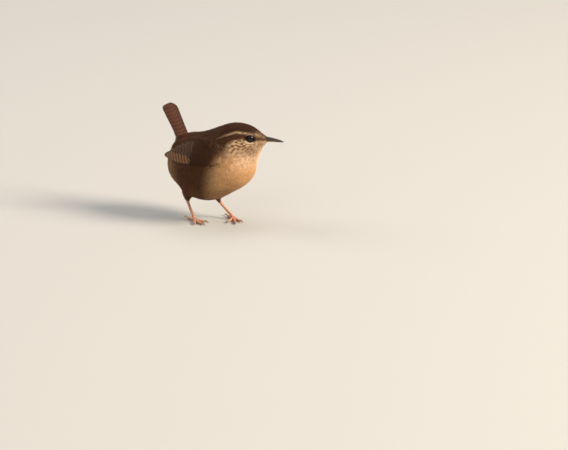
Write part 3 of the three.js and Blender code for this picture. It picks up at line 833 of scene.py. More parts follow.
def vaneMaterial(name, look):
    # tint, bars and streak are the piece's own attributes, the vane its own map
    material, tree, add, shader = newMaterial(name)
    named = [add("ShaderNodeAttribute", attribute_name=key) for key in ("tint", "bars", "streak")]
    vane = add("ShaderNodeUVMap", uv_map="vane")
    marks = add("ShaderNodeGroup", node_tree=vaneGroup, inputs={
        "Tint": named[0].outputs["Color"], "Bars": named[1].outputs["Fac"],
        "Streak": named[2].outputs["Fac"], "Vane": vane.outputs[0],
        "Bar tint": (*linear(look["barTint"]), 1), "Bar length": look["barLength"],
        "Bar fill": look["barFill"], "Barb length": look["barbLength"],
        "Waver": look["waver"], "Mottle": look["mottle"]})
    connect(tree, add, shader, marks, look, 0.00005)
    shader.inputs["Sheen Weight"].default_value = look["sheen"]
    shader.inputs["Sheen Roughness"].default_value = 0.5
    return material


def grainMaterial(name, look):
    # the piece's own tint, with darker grain over it
    material, tree, add, shader = newMaterial(name)
    tint = add("ShaderNodeAttribute", attribute_name="tint")
    marks = add("ShaderNodeGroup", node_tree=grainGroup, inputs={
        "Tint": tint.outputs["Color"], "Dark": (*linear(look["dark"]), 1),
        "Scale": look["scale"], "Amount": look["amount"]})
    connect(tree, add, shader, marks, look, 0.00004)
    return material


looks = {
    "plumage": {"barTint": (54, 34, 22), "barLength": 1.9, "barFill": 0.15, "barbLength": 0.17,
                "waver": 4.5, "mottle": 1, "relief": 0.3, "gloss": 0.12, "sheen": 0.03},
    "quills": {"barTint": (50, 32, 21), "barLength": 2.4, "barFill": 0.05, "barbLength": 0.3,
               "waver": 0.9, "mottle": 1, "relief": 0.45, "gloss": 0.2, "sheen": 0.02},
    "tail": {"barTint": (42, 23, 15), "barLength": 2.3, "barFill": 0.1, "barbLength": 0.3,
             "waver": 2.2, "mottle": 4, "relief": 0.45, "gloss": 0.2, "sheen": 0.02},
    "bill": {"dark": (30, 22, 18), "scale": 1800.0, "amount": 0.5, "relief": 0.15, "gloss": 0.5},
    "legs": {"dark": (160, 96, 70), "scale": 2600.0, "amount": 0.4, "relief": 0.4, "gloss": 0.4},
    "claws": {"dark": (84, 60, 44), "scale": 2200.0, "amount": 0.5, "relief": 0.15, "gloss": 0.5},
    "lids": {"dark": (44, 32, 26), "scale": 3200.0, "amount": 0.5, "relief": 0.5, "gloss": 0.12},
}
plumageMaterial = vaneMaterial("plumage", looks["plumage"])
quillMaterial = vaneMaterial("wingVanes", looks["quills"])
tailMaterial = vaneMaterial("tailVanes", looks["tail"])
billMaterial = grainMaterial("billHorn", looks["bill"])
legMaterial = grainMaterial("legSkin", looks["legs"])
clawMaterial = grainMaterial("clawHorn", looks["claws"])
lidMaterial = grainMaterial("lidSkin", looks["lids"])
print("stage: materials")

# the skin, one closed surface round the whole body, a little darker than the coat: painted shade
# under the feathers
skin = {"centre": (6, 1.2, 40), "rings": 190, "around": 260, "shade": 0.8, "chance": 0.45}


def skinGrid(level):
    # polar angle from the bill's root, then angle round it, cast in to the level
    centre = np.array(skin["centre"])
    axis = unit(headPlace - centre)
    down = unit(np.array([0, 0, -1.0]) + axis * axis[2])
    aside = np.cross(axis, down)
    p, r = gridOf(polarsOf(skin["rings"]), turnsOf(skin["around"]))
    ways = np.cos(r)[..., None] * down + np.sin(r)[..., None] * aside
    ways = np.cos(p)[..., None] * axis + np.sin(p)[..., None] * ways
    return castInward(centre, ways, level, bodyDistance)


def flowOf(points):
    # millimetres from the bill's root, which the bars of the plumage follow
    return np.linalg.norm(points - billRoot, axis=-1)


outerGrid = skinGrid(0.0)
innerGrid = skinGrid(-coatDepth(outerGrid))
points, faces, quadPlaces, fanPlaces = closedTubes(innerGrid[None])
chances = np.full(len(points), skin["chance"])
inner, rim, bars, streaks = plumeMarks(points, outward(points, bodyDistance), chances)
skinMaps = {
    "OFBake": tubeMaps(quadPlaces, fanPlaces, lambda t, r, k: joined(
        k / skin["around"], (r + 0.5) / skin["rings"])),
    "vane": joined(0.51, flowOf(points) / vaneSpan)[cornersOf(faces)],
}
# the skin's tint is the coat's times the shade, painted shade where it shows between the tufts
skinValues = {"tint": inner * skin["shade"], "bars": bars, "streak": 0 * streaks}
skinPiece = makePiece("plumageSkin", points, faces, skinMaps, skinValues)
finishPiece(skinPiece, plumageMaterial,
            ("head", "neck", "torso", "thigh_left", "thigh_right"))
print("stage: skin", len(points))

# a small feather: a short vane of three columns fringed by slim barbs
tuft = {
    "rows": (0, 0.32, 0.58, 0.8),
    "wide": (0.34, 0.78, 0.8, 0.42),
    "barbs": 16,
    "barbWide": 0.05,
    "barbLong": 0.44,
    "barbSpread": (0.82, 1.16),
    "barbLonger": (-0.08, 0.05),
    "barbLifted": (-0.03, 0.07),
    "sunk": 0.05,
    "bakePatch": 0.003,
}


def tuftTemplate():
    # barb a ends at (cos a, 0.58 + 0.46 sin a) and starts nearer the root, drawn in to the shaft;
    # a last column tells how far each point belongs to the rim
    rows, wide = np.array(tuft["rows"]), np.array(tuft["wide"])
    across = np.stack([-wide, 0 * wide, wide], 1)
    lift = np.stack([0 * wide, 0.08 * wide, 0 * wide], 1)
    edge = np.stack([0 * wide + 0.45, 0 * wide, 0 * wide + 0.45], 1)
    vane = joined(across, rows[:, None], lift, edge).reshape(-1, 4)
    r, c = gridOf(np.arange(len(rows) - 1), np.arange(2))
    k = (r * 3 + c).ravel()
    quads = np.stack([k, k + 1, k + 4, k + 3], 1)
    a = np.linspace(0.03, math.pi - 0.03, 2 * tuft["barbs"] + 1)
    ends = joined(np.cos(a), 0.58 + 0.46 * np.sin(a))
    back = tuft["barbLong"] * (0.85 + 0.15 * np.sin(a))
    starts = joined(0.35 * np.cos(a), ends[:, 1] - back)
    way = unit(ends - starts)
    aside = joined(-way[:, 1], way[:, 0]) * tuft["barbWide"]
    step = np.arange(len(a))
    base = 0.03 + 0.025 * (step % 3)
    corners = np.stack([starts - aside, ends, starts + aside], 1)
    height = np.stack([base, 0.02 + 0.05 * (step % 2), base], 1)
    rimShare = np.stack([0 * a + 0.3, 0 * a + 1, 0 * a + 0.3], 1)
    barbs = np.concatenate([corners, height[..., None], rimShare[..., None]], -1).reshape(-1, 4)
    thirds = len(vane) + np.arange(len(barbs)).reshape(-1, 3)
    return np.concatenate([vane, barbs]), quads, thirds


template, templateQuads, templateThirds = tuftTemplate()
vaneCount = len(tuft["rows"]) * 3


def buildTufts(roots, ways, normals, lengths, widths, depths, rng,
               distance=None, top=0.0, ruffle=0.1):
    # each template point goes along the way, aside and out; its level rises from the skin at the
    # root to the top at the tip, by the 1.3 power of how far the tip still is
    count = len(roots)
    asides = np.cross(ways, normals)
    shape = np.broadcast_to(template[:, :3], (count, len(template), 3)).copy()
    ends = np.arange(vaneCount + 1, len(template), 3)
    spread, longer, lifted = (rng.uniform(*tuft[key], (count, len(ends)))
                              for key in ("barbSpread", "barbLonger", "barbLifted"))
    shape[:, ends, 0] *= spread
    shape[:, ends, 1] += longer
    shape[:, ends, 2] += lifted
    along = shape[..., 1] * lengths[:, None]
    aside = shape[..., 0] * widths[:, None] / 2
    points = roots[:, None] + along[..., None] * ways[:, None] + aside[..., None] * asides[:, None]
    left = np.clip(1 - shape[..., 1], 0, 1) ** 1.3
    rise = rng.normal(0, ruffle, count)[:, None] * np.clip(shape[..., 1], 0, 1) ** 2
    level = -depths[:, None] * left + top + rise + shape[..., 2] * widths[:, None] - tuft["sunk"]
    if distance is None:
        return points + level[..., None] * normals[:, None]
    for _ in range(3):
        points = points + normals[:, None] * (level - distance(points))[..., None]
    return points


def tuftPiece(name, tufts, rootMap, inner, rim, bars, streaks, rng, material):
    # every tuft keeps the template's faces; its bake patch is a small square at its root's place
    count, size = tufts.shape[:2]
    offsets = (np.arange(count) * size)[:, None, None]
    quads = (templateQuads[None] + offsets).reshape(-1, 4)
    thirds = (templateThirds[None] + offsets).reshape(-1, 3)
    low, high = rootMap.min(axis=0), rootMap.max(axis=0)
    spots = 0.01 + 0.98 * (rootMap - low) / np.maximum(high - low, 1e-6)
    patch = joined(template[:, 0] / 2, template[:, 1] - 0.5) * tuft["bakePatch"]
    patch = np.clip(spots[:, None] + patch[None], 0.001, 0.999).reshape(-1, 2)
    widths = np.linalg.norm(tufts[:, 4] - tufts[:, 3], axis=-1) / tuft["wide"][1]
    across = 0.5 + template[None, :, 0] * widths[:, None] / vaneSpan
    flow = (flowOf(tufts) + rng.normal(0, 0.3, count)[:, None]) / vaneSpan
    vane = joined(across, flow).reshape(-1, 2)
    edge = template[None, :, 3, None]
    # each tuft darker towards its root: partly its greyer down, partly painted shade where the
    # feathers above cover it
    shade = mix(0.6, 1.0, smoothStep(0.1, 0.75, template[:, 1]))[None, :, None]
    values = {
        "tint": (mix(inner[:, None], rim[:, None], edge) * shade).reshape(-1, 3),
        "bars": np.repeat(bars, size),
        "streak": np.repeat(streaks, size),
    }
    order = np.concatenate([quads.ravel(), thirds.ravel()])
    maps = {"OFBake": patch[order], "vane": vane[order]}
    piece = makePiece(name, tufts.reshape(-1, 3), [quads, thirds], maps, values, closed=False)
    return finishPiece(piece, material)


goldenStep = 0.6180339887  # steps by the golden ratio spread evenly and never line up

# the coat of small feathers: spacing by place, how near it comes to lids and bill, length and
# width by the spacing, and the ways it lies down the legs and up to the tail's root
coat = {
    "seed": 11,
    "bodySpacing": 0.8,
    "headSpacing": 0.47,
    "faceSpacing": 0.37,
    "lidSpacing": 0.27,
    "legSpacing": 0.5,
    "fromLid": 2.26,
    "shortest": 0.45,
    "lengthRatio": 5.2,
    "widthRatio": 2.8,
    "ahead": 0.9,
    "downLeg": (0.35, 0, -1),
    "tailSpot": (-23.4, 0, 50.9),
    "toTail": 1.6,
}


def lieOf(points, normals):
    # away from the bill along the surface, up to the tail's root behind, down the legs and round
    # the eyes
    flow = unit(points - billRoot)
    onLeg = smoothStep(20, 15.5, points[..., 2])[..., None]
    downLeg = unit(np.array(coat["downLeg"], float))
    behind = smoothStep(-8, -27, points[..., 0])[..., None]
    flow = flow + coat["toTail"] * behind * unit(np.array(coat["tailSpot"]) - points)
    flow = mix(flow, 2 * downLeg, onLeg * (thighDistance(points) < 0.8)[..., None])
    flow = alongSurface(flow, normals)
    for _, hand in sides:
        centre, _ = eyeFrame(hand)
        off = points - centre
        near = smoothStep(6, 2.6, np.linalg.norm(off, axis=-1) - 1)[..., None]
        out = alongSurface(off, normals)
        inward = np.minimum((flow * out).sum(-1, keepdims=True) - 0.25, 0)
        flow = unit(flow - near * inward * out)
    return flow


def spacingOf(points):
    # wide on the trunk, closer on the head and legs, closest round the bill and eyes
    f, _, u = np.moveaxis(toHead(points), -1, 0)
    gap = mix(coat["bodySpacing"], coat["headSpacing"], smoothStep(-27, -17, f))
    besideEye = within((f, -26, -21), (u, -10, -7), (u, 7.4, 5.6))
    gap = mix(gap, coat["faceSpacing"], besideEye)
    gap = mix(gap, coat["faceSpacing"], smoothStep(-8, -2, f))
    gap = mix(gap, coat["lidSpacing"], smoothStep(3.5, 2.9, eyeReach(points)))
    return mix(gap, coat["legSpacing"], smoothStep(17, 14, points[..., 2]))


def scatterRoots(grid, spacing):
    # rows by their share of all tufts, then golden-ratio steps round each row's own share
    rings, around = grid.shape[:2]
    nextRing = np.concatenate([grid[1:], grid[-1:]])
    nextRound = np.roll(grid, -1, axis=1)
    area = np.linalg.norm(np.cross(nextRing - grid, nextRound - grid), axis=-1)
    weight = area / spacing ** 2
    rowSum = weight.sum(axis=1)
    total = int(rowSum.sum())
    edges = np.concatenate([[0], np.cumsum(rowSum)])
    want = (np.arange(total) + 0.5) / total * edges[-1]
    ringPlace = np.interp(want, edges, np.arange(rings + 1))
    row = np.minimum(ringPlace.astype(int), rings - 1)
    share = np.cumsum(weight, axis=1) / rowSum[:, None]
    share = np.concatenate([np.zeros((rings, 1)), share], 1)
    golden = np.mod(np.arange(total) * goldenStep, 1.0)
    flat = (share + 2 * np.arange(rings)[:, None]).ravel()
    spots = np.tile(np.arange(around + 1), rings)
    found = np.searchsorted(flat, golden + 2 * row, side="right") - 1
    low, high = flat[found], flat[np.minimum(found + 1, len(flat) - 1)]
    part = np.clip((golden + 2 * row - low) / np.maximum(high - low, 1e-9), 0, 1)
    return np.clip(ringPlace - 0.5, 0, rings - 1.001), np.mod(spots[found] + part, around)


def readGrid(grid, ringPlace, roundPlace):
    # evenly between the grid's four nearest points, closed round
    r, k = ringPlace.astype(int), roundPlace.astype(int)
    a, b = (ringPlace - r)[:, None], (roundPlace - k)[:, None]
    n = (k + 1) % grid.shape[1]
    k = k % grid.shape[1]
    low = mix(grid[r, k], grid[r, n], b)
    return mix(low, mix(grid[r + 1, k], grid[r + 1, n], b), a)


def dressBody():
    # scatters the roots, turns each feather to its lie and hands the tracts out as pieces
    rng = np.random.default_rng(coat["seed"])
    ringPlace, roundPlace = scatterRoots(outerGrid, spacingOf(outerGrid))
    roots = readGrid(outerGrid, ringPlace, roundPlace)
    keep = (underWing(roots) < 0.6) & (eyeReach(roots) > coat["fromLid"])
    keep = keep & (toHead(roots)[..., 0] < coat["ahead"])
    roots, ringPlace, roundPlace = roots[keep], ringPlace[keep], roundPlace[keep]
    count, reach = len(roots), eyeReach(roots)
    normals = outward(roots, bodyDistance)
    ways = lieOf(roots, normals)
    swirl = np.radians(rng.normal(0, 7, count) + 5 * np.sin(roots[:, 0] * 0.7 + roots[:, 2] * 0.5))
    ways = unit(ways * np.cos(swirl)[:, None] + np.cross(normals, ways) * np.sin(swirl)[:, None])
    gap = spacingOf(roots)
    lengths = gap * coat["lengthRatio"] * rng.uniform(0.85, 1.15, count)
    lengths = lengths * mix(1, 1.3, smoothStep(-10, -22, roots[:, 0]))
    lengths = np.minimum(lengths, coat["shortest"] + np.maximum(reach - 2.25, 0) * 1.2)
    lengths = lengths * mix(1, 0.62, smoothStep(17, 14, roots[:, 2]))
    lengths = lengths * mix(0.4, 1, smoothStep(0.3, 2.8, fromHem(roots)))
    widths = np.minimum(gap * coat["widthRatio"] * rng.uniform(0.85, 1.1, count), lengths * 0.85)
    depths = np.minimum(coatDepth(roots), coatDepths["trunk"])
    seen = roots + ways * lengths[:, None] * 0.7
    inner, rim, bars, streaks = plumeMarks(seen, normals, rng.uniform(0, 1, count))
    draw = rng.uniform(0.84, 1.14, count)[:, None]
    tufts = buildTufts(roots, ways, normals, lengths, widths, depths, rng, bodyDistance)
    print("stage: body feathers", count)
    h = toHead(roots)
    onHead = (roots - fromHead((-16, 0, -6.1))) @ unit(np.array([0.46, 0.12, 0.88])) > 0
    onNeck = (roots - np.array([10, 1.5, 44.5])) @ unit(np.array([0.5, 0.1, 0.86])) > 0
    tests = [
        ("faceLeft", onHead & (h[:, 0] > -11) & (h[:, 1] > 0)),
        ("faceRight", onHead & (h[:, 0] > -11)),
        ("crownLeft", onHead & (h[:, 1] > 0)),
        ("crownRight", onHead),
        ("neck", onNeck),
        ("back", (roots[:, 2] > 34) & (roots[:, 0] < 12)),
        ("breast", roots[:, 0] > 14),
        ("flankLeft", roots[:, 1] > 5),
        ("flankRight", roots[:, 1] < -5),
        ("belly", roots[:, 0] > -99),
    ]
    tract = np.select([test for _, test in tests], np.arange(len(tests)))
    rootMap = joined(roundPlace / skin["around"], (ringPlace + 0.5) / skin["rings"])
    for number, (label, _) in enumerate(tests):
        mine = tract == number
        tuftPiece("feathers" + label[0].upper() + label[1:], tufts[mine], rootMap[mine],
                  (inner * draw)[mine], (rim * draw)[mine], bars[mine], streaks[mine], rng,
                  plumageMaterial)
        print("stage:", label, int(mine.sum()))


dressBody()

# the long feathers of wings and tail
longVane = {
    "stations": 34,
    "across": (-1, -0.82, -0.5, -0.2, -0.06, 0, 0.06, 0.3, 0.65, 0.88, 1),
    "thickness": 0.13,
    "shaft": 0.16,
    "streak": 0.8,
    "edgeFray": (0.94, 1.0),
    "notches": 0.09,
    "notchDeep": 0.12,
}


def vaneOutline(t, tipStart, pointed):
    # rises from the quill over the first eighth, then a round or pointed end past tipStart
    rise = np.clip(t / 0.14, 0, 1) ** 0.6 * 0.62 + 0.38 * smoothStep(0, 0.45, t)
    end = np.clip((t - tipStart) / (1 - tipStart), 0, 1)
    return rise * np.maximum(1 - end ** (2 - 0.4 * pointed), 0) ** (0.5 + 0.35 * pointed)


def buildVanes(place, roots, tips, widths, rng,
               tilt=0.12, outer=0.36, tipStart=0.8, pointed=0.0, droop=0.05):
    # along runs from root to tip and c across from -1 to 1, the outer web being the narrow one;
    # level runs from root to tip, plus tilt times the way across, less droop c^2, with a ridge
    # along the shaft
    roots, tips = np.asarray(roots, float), np.asarray(tips, float)
    count = len(roots)
    t = (np.linspace(0, 1, longVane["stations"]) ** 0.9)[None, :, None]
    c = np.array(longVane["across"])
    face = np.concatenate([np.ones(len(c)), -np.ones(len(c))])[None, None]
    c = np.concatenate([c, c[::-1]])[None, None]
    along = tips[:, :2] - roots[:, :2]
    length = np.linalg.norm(along, axis=1)
    aside = np.stack([-along[:, 1], along[:, 0]], 1) / length[:, None]
    frays = rng.uniform(*longVane["edgeFray"], (count, longVane["stations"], 1))
    notched = rng.uniform(0, 1, frays.shape) < longVane["notches"]
    frays = np.where(notched, frays - longVane["notchDeep"], frays)
    web = np.where(c > 0, 2 * outer, 2 * (1 - outer))
    reach = widths[:, None, None] / 2 * vaneOutline(t, tipStart, pointed)
    reach = reach * np.where(np.abs(c) > 0.9, frays, 1)
    off = c * web * reach
    u, v = (roots[:, i, None, None] + along[:, i, None, None] * t + aside[:, i, None, None] * off
            for i in range(2))
    level = mix(roots[:, 2, None, None], tips[:, 2, None, None], t)
    thin = longVane["thickness"] * (1 - 0.7 * np.abs(c)) * (1 - 0.7 * t)
    ridge = longVane["shaft"] * bell(c, 0, 0.045) * (1 - 0.75 * t)
    level = level + tilt * off - droop * reach * c * c + face * (thin + ridge) / 2
    fromTip = (1 - t) * length[:, None, None] + 0 * off
    return {"rings": place(u, v, level), "off": off, "chart": u + 0.3 * v, "fromTip": fromTip}


def vanePiece(name, groups, material, replaced, columns):
    # groups of closed vanes joined in one mesh, each vane in its own cell of the bake map and
    # its pattern map holding the way from the shaft and the way along
    around = 2 * len(longVane["across"])
    rings = np.concatenate([g["rings"] for g in groups])
    total, count = rings.shape[:2]
    points, faces, quadPlaces, fanPlaces = closedTubes(rings)
    fromShaft = np.concatenate([g["off"] for g in groups]) / vaneSpan + 0.5
    run = np.concatenate([g["run"] for g in groups]) / vaneSpan
    vane = [perPoint(v, total, count, around) for v in (fromShaft, run)]
    vane = joined(*vane)[cornersOf(faces)]
    cells = tubeMaps(quadPlaces, fanPlaces, atlasMap(total, count, around, columns))
    values = {
        "tint": tintPerPoint(np.concatenate([g["tint"] for g in groups]), total, count, around),
        "bars": perPoint(np.concatenate([g["bars"] for g in groups]), total, count, around),
        "streak": np.full(len(points), longVane["streak"]),
    }
    piece = makePiece(name, points, faces, {"OFBake": cells, "vane": vane}, values)
    return finishPiece(piece, material, replaced)


def mirrorTurn(group, flipped):
    # a mirrored tier runs its rings the other way round, so that its faces still look out
    if flipped:
        for key in ("rings", "off", "run", "tint", "bars"):
            group[key] = group[key][:, :, ::-1]
    return group


# the folded wing's tiers: width, root and tip of the first feather and the last, in the chart;
# reach bulges the tips and pale lightens the outer webs
wingTiers = {
    "primaries": {"count": 9, "width": (3.9, 4.2), "root": ((9, 5.2, -1.5), (0, 9.5, -1.1)),
                  "tip": ((-21.4, 4.7, -0.75), (-24, 11, -0.25)), "reach": 6.9, "tilt": 0.17,
                  "pointed": 0.8, "start": 0.72, "pale": 1.0},
    "secondaries": {"count": 7, "width": (4.4, 4.8), "root": ((1, 9.2, -1), (-5, 15, -0.8)),
                    "tip": ((-22.4, 11.4, -0.2), (-18.6, 15.6, 0)), "reach": 0, "tilt": 0.16,
                    "pointed": 0.2, "start": 0.8, "pale": 0.18},
    "tertials": {"count": 3, "width": (5.2, 4.6), "root": ((-2, 13.6, -0.8), (-1, 16.6, -0.6)),
                 "tip": ((-18, 15, 0.2), (-11.5, 17.4, 0.3)), "reach": 0, "tilt": 0.12,
                 "pointed": 0.1, "start": 0.74, "pale": 0.2},
    "primaryCoverts": {"count": 6, "width": (2.3, 2.6), "root": ((11, 6.2, -0.9), (6, 8.6, -0.8)),
                       "tip": ((-1, 4.9, -0.15), (-6, 8.2, 0)), "reach": 0.4, "tilt": 0.16,
                       "pointed": 0.3, "start": 0.75, "pale": 0.2},
    "greaterCoverts": {"count": 10, "width": (2.9, 3.2), "root": ((6, 8.2, -0.8), (5, 17, -0.7)),
                       "tip": ((-6.5, 8, 0.1), (-7.4, 17.6, 0.3)), "reach": 1.2, "tilt": 0.16,
                       "pointed": 0.1, "start": 0.72, "pale": 0.12},
    "alula": {"count": 3, "width": (2.1, 2.4), "root": ((13, 7.4, -0.7), (12.5, 8.6, -0.6)),
              "tip": ((3.6, 5.2, -0.15), (1.8, 7.6, -0.1)), "reach": 0, "tilt": 0.14,
              "pointed": 0.3, "start": 0.72, "pale": 0.5},
}


def tierEnds(tier):
    # first and last feather given, the rest evenly between; tips bulge by reach sin(pi share^0.8)
    share = np.arange(tier["count"]) / (tier["count"] - 1)
    roots, tips = (mix(*np.array(tier[key], float), share[:, None]) for key in ("root", "tip"))
    tips[:, 0] -= tier["reach"] * np.sin(math.pi * share ** 0.8)
    return roots, tips, mix(*tier["width"], share)


def wingGroups(hand, rng):
    # each tier's vanes; the outer webs are paler between their bars, the inner ones plain but
    # darker, painted shade where the next feather laps over them
    groups = []
    for tier in wingTiers.values():
        roots, tips, widths = tierEnds(tier)
        group = buildVanes(
            lambda u, v, level: wingPlace(hand, u, v, level), roots, tips, widths, rng,
            tilt=tier["tilt"], tipStart=tier["start"], pointed=tier["pointed"])
        outer = smoothStep(-0.1, 0.15, group["off"])
        tint = mix(plume("wing"), plume("wingPale"), outer[..., None] * tier["pale"])
        draw = rng.uniform(0.88, 1.1, (tier["count"], 1, 1, 1))
        # painted shade: the inner web darker, as under the next feather
        group["tint"] = tint * (draw * mix(0.72, 1, outer[..., None]))
        group["bars"] = mix(0.35, 0.8, outer)
        group["run"] = group["chart"] + rng.uniform(-0.45, 0.45, (tier["count"], 1, 1))
        groups.append(mirrorTurn(group, hand < 0))
    return groups


for side, hand in sides:
    vanePiece("wingFeathers" + side, wingGroups(hand, np.random.default_rng(21 + hand)),
              quillMaterial, ("wing_" + side.lower(),), 8)
    print("stage: wing", side)

# small coverts over the shoulder, and the body feathers that lap the wing's edges; the last ones
# get shorter and narrower ahead, by the shares under forward
shoulder = {
    "coverts": {"from": 17.6, "to": -1.5, "spacing": 0.75, "length": 3.4, "width": 2, "top": 0.12,
                "lean": 0, "forward": (1, 1)},
    "scapulars": {"from": 11, "to": -19, "count": 190, "length": 6.2, "width": 3, "top": 0.6,
                  "lean": -0.26, "forward": (0.5, 0.6)},
    "sides": {"from": 11, "to": -4, "count": 150, "length": 4.2, "width": 2.3, "top": 0,
              "lean": 0.12, "forward": (0.5, 0.6)},
}


def shoulderTufts(side, hand, rng):
    # a golden-ratio scatter over the wing's arm, and scatters along its upper and lower edges
    small, upper, lower = (shoulder[key] for key in ("coverts", "scapulars", "sides"))
    count = int((small["from"] - small["to"]) * 13 / small["spacing"] ** 2)
    i = np.arange(count)
    x = mix(small["from"], small["to"], (i + 0.5) / count)
    nose = np.clip((small["from"] + 0.4 - x) / 7, 0, 1)
    middle, half = (wingLow(x) + wingHigh(x)) / 2, (wingHigh(x) - wingLow(x)) / 2 + 0.3
    half = half * (0.2 + 0.8 * np.sqrt(1 - (1 - nose) ** 2))
    sets = [(x, middle + half * (2 * np.mod(i * goldenStep, 1.0) - 1), small, wingDistance)]
    x = mix(upper["from"], upper["to"], rng.uniform(0, 1, upper["count"]))
    sets.append((x, wingHigh(x) + rng.uniform(-0.6, 3, upper["count"]), upper, bodyDistance))
    x = mix(lower["from"], lower["to"], rng.uniform(0, 1, lower["count"]))
    sets.append((x, wingLow(x) - rng.uniform(-0.1, 2, lower["count"]), lower, wingDistance))
    parts = []
    for x, rise, look, distance in sets:
        count, level = len(x), np.zeros(len(x))
        here = wingPlace(hand, x, rise, level)
        ahead = wingPlace(hand, x - 0.5, rise + 0.5 * look["lean"], level)
        normals = outward(here, distance)
        here = here - normals * distance(here)[:, None]
        ways = alongSurface(unit(ahead - here), normals)
        shorter, narrower = (mix(1, share, smoothStep(-4, 11, x)) for share in look["forward"])
        lengths = look["length"] * rng.uniform(0.85, 1.1, count) * shorter
        widths = look["width"] * rng.uniform(0.9, 1.1, count) * narrower
        depths = np.full(count, 0.9 + look["top"])
        tufts = buildTufts(here, ways, normals, lengths, widths, depths, rng, distance, look["top"])
        seen = here + ways * lengths[:, None] * 0.7
        inner, rim, bars, _ = plumeMarks(seen, normals, rng.uniform(0, 1, count))
        if look is small:
            melt = smoothStep(15.5, 11, x)[:, None]
            inner = mix(inner, plume("wing"), melt)
            rim = mix(rim, plume("wing") * 0.75, melt)
            bars = 0.7 * smoothStep(11, 4, x)
        draw = rng.uniform(0.86, 1.12, count)[:, None]
        parts.append((tufts, joined(x, rise), inner * draw, rim * draw, bars))
    tufts, rootMap, inner, rim, bars = (np.concatenate(part) for part in zip(*parts))
    tuftPiece("shoulderFeathers" + side, tufts, rootMap, inner, rim, bars, 0 * bars, rng,
              plumageMaterial)


for side, hand in sides:
    shoulderTufts(side, hand, np.random.default_rng(31 + hand))
print("stage: shoulders")

# the tail: twelve feathers, the middle pair on top, with downy coverts under their roots; edge
# is how strongly painted shade darkens each one's rim, from the outermost
tailShape = {
    "roof": 0.006,
    "length": 30,
    "shortening": ((0, 0.05, 0.1, 0.18, 0.3, 0.55), (0, 0.15, 0.35, 0.7, 1.2, 1.9)),
    "rootSpread": 0.6,
    "tipSpread": 0.98,
    "width": (5, 4.4),
    "stack": 0.12,
    "edge": (0.9, 0.3, 0.2, 0.15, 0.1, 0.1),
}


def tailPlace(run, across, level):
    # along the tail, across to the left, and out of its upper face, which falls by across^2
    run, across, level = np.broadcast_arrays(run, across, level)
    out = level - tailShape["roof"] * across * across
    left = joined(0.0, across, 0.0)
    return tailBase + run[..., None] * tailAlong + out[..., None] * tailUpper + left


def tailGroups(rng):
    # pairs from the middle outwards, each lower and shorter than the last
    groups = []
    edge = np.array(tailShape["edge"])[:, None, None]
    for side, shortening in zip((1, -1), np.array(tailShape["shortening"])):
        k = np.arange(5, -1, -1)
        level = 0.45 - tailShape["stack"] * k + (0.07 if side > 0 else 0)
        roots = np.stack([0 * k, -tailShape["rootSpread"] * (k + 0.5), level], 1)
        length = tailShape["length"] - shortening[k]
        tips = np.stack([length, -tailShape["tipSpread"] * (k + 0.5), level], 1)
        widths = mix(*tailShape["width"], k / 5)
        group = buildVanes(
            lambda u, v, level: tailPlace(u, side * v, level), roots, tips, widths, rng,
            tilt=-0.03, outer=0.6, tipStart=0.9, droop=0.02)
        # painted shade: a darker rim along one side of each feather, most on the outermost
        edgeShade = smoothStep(0.3, -1.2, group["off"]) * edge
        tint = mix(plume("tail"), plume("tailEdgeShade"), edgeShade[..., None])
        group["tint"] = tint * rng.uniform(0.92, 1.08, (6, 1, 1, 1))
        group["bars"] = np.full(edgeShade.shape, 0.85)
        shift = shortening[k] + rng.uniform(-0.4, 0.4, 6)
        group["run"] = group["fromTip"] + shift[:, None, None]
        groups.append(mirrorTurn(group, side < 0))
    return groups


vanePiece("tailFeathers", tailGroups(np.random.default_rng(5)), tailMaterial,
          ("tail",), 4)

tailCoverts = {
    "count": 200,
    "run": (-1, 12),
    "reach": 4.7,
    "level": (-5.5, -1.5),
    "length": 5,
    "width": 3.2,
}


def dressTailRoot(rng):
    # rows along the tail's under face, scattered across; run falls off by the square of the way
    # across, and the outer ones are paler, partly their own pale tips and partly painted light, as
    # if lit through from behind
    look = tailCoverts
    count = look["count"]
    share = rng.uniform(0, 1, count) ** 0.9
    across = rng.uniform(-1, 1, count) * (1 - 0.5 * share ** 3)
    run = mix(*look["run"], share) - 3.5 * across ** 2
    level = mix(*look["level"], share) + 1.2 * across ** 2 * (1 - share)
    here = tailPlace(run, across * look["reach"], level)
    sideways = across[:, None] * np.array([0, 1.0, 0])
    ways = unit(tailAlong + 0.1 * sideways + 0.06 * tailUpper)
    normals = alongSurface(unit(0.35 * sideways - tailUpper), ways)
    lengths = look["length"] * rng.uniform(0.8, 1.1, count)
    widths = look["width"] * rng.uniform(0.85, 1.1, count)
    depths, bars = np.full(count, 0.5), np.full(count, 0.35)
    tufts = buildTufts(here, ways, normals, lengths, widths, depths, rng, ruffle=0.2)
    # the outer coverts paler: painted light of a backlit fringe, over their own random paleness
    palenessAndLight = np.maximum(rng.uniform(0.2, 0.9, count), smoothStep(0.35, 0.8, np.abs(across)))
    rim = mix(plume("undertail"), plume("tips"), palenessAndLight[:, None])
    tuftPiece("tailCoverts", tufts, joined(run, across), 0.85 * rim, rim, bars, 0 * bars, rng,
              plumageMaterial)


dressTailRoot(np.random.default_rng(8))
print("stage: tail")


def ballRings(count, around):
    # (sin a cos b, sin a sin b, cos a) for polar angles a and bearings b
    a, b = gridOf(polarsOf(count), turnsOf(around))
    return a, joined(np.sin(a) * np.cos(b), np.sin(a) * np.sin(b), np.cos(a))


def buildEye(side, hand):
    # a ball by the angle from its look, with a cornea raised by 0.04 e^-(angle / 0.6)^2
    centre, rows = eyeFrame(hand)
    angle, local = ballRings(30, 40)
    local = local * (eyes["radius"] * (1 + 0.04 * bell(angle, 0, 0.6)))[..., None]
    iris = within((angle, 0.5, 0.58), (angle, 1.15, 1.0))[..., None]
    tint = mix(linear(eyes["pupilTint"]), linear(eyes["irisTint"]), iris)
    tubePiece("eyeball" + side, (centre + local @ rows)[None], tint[None], eyeMaterial,
              ("eye_" + side.lower(),))


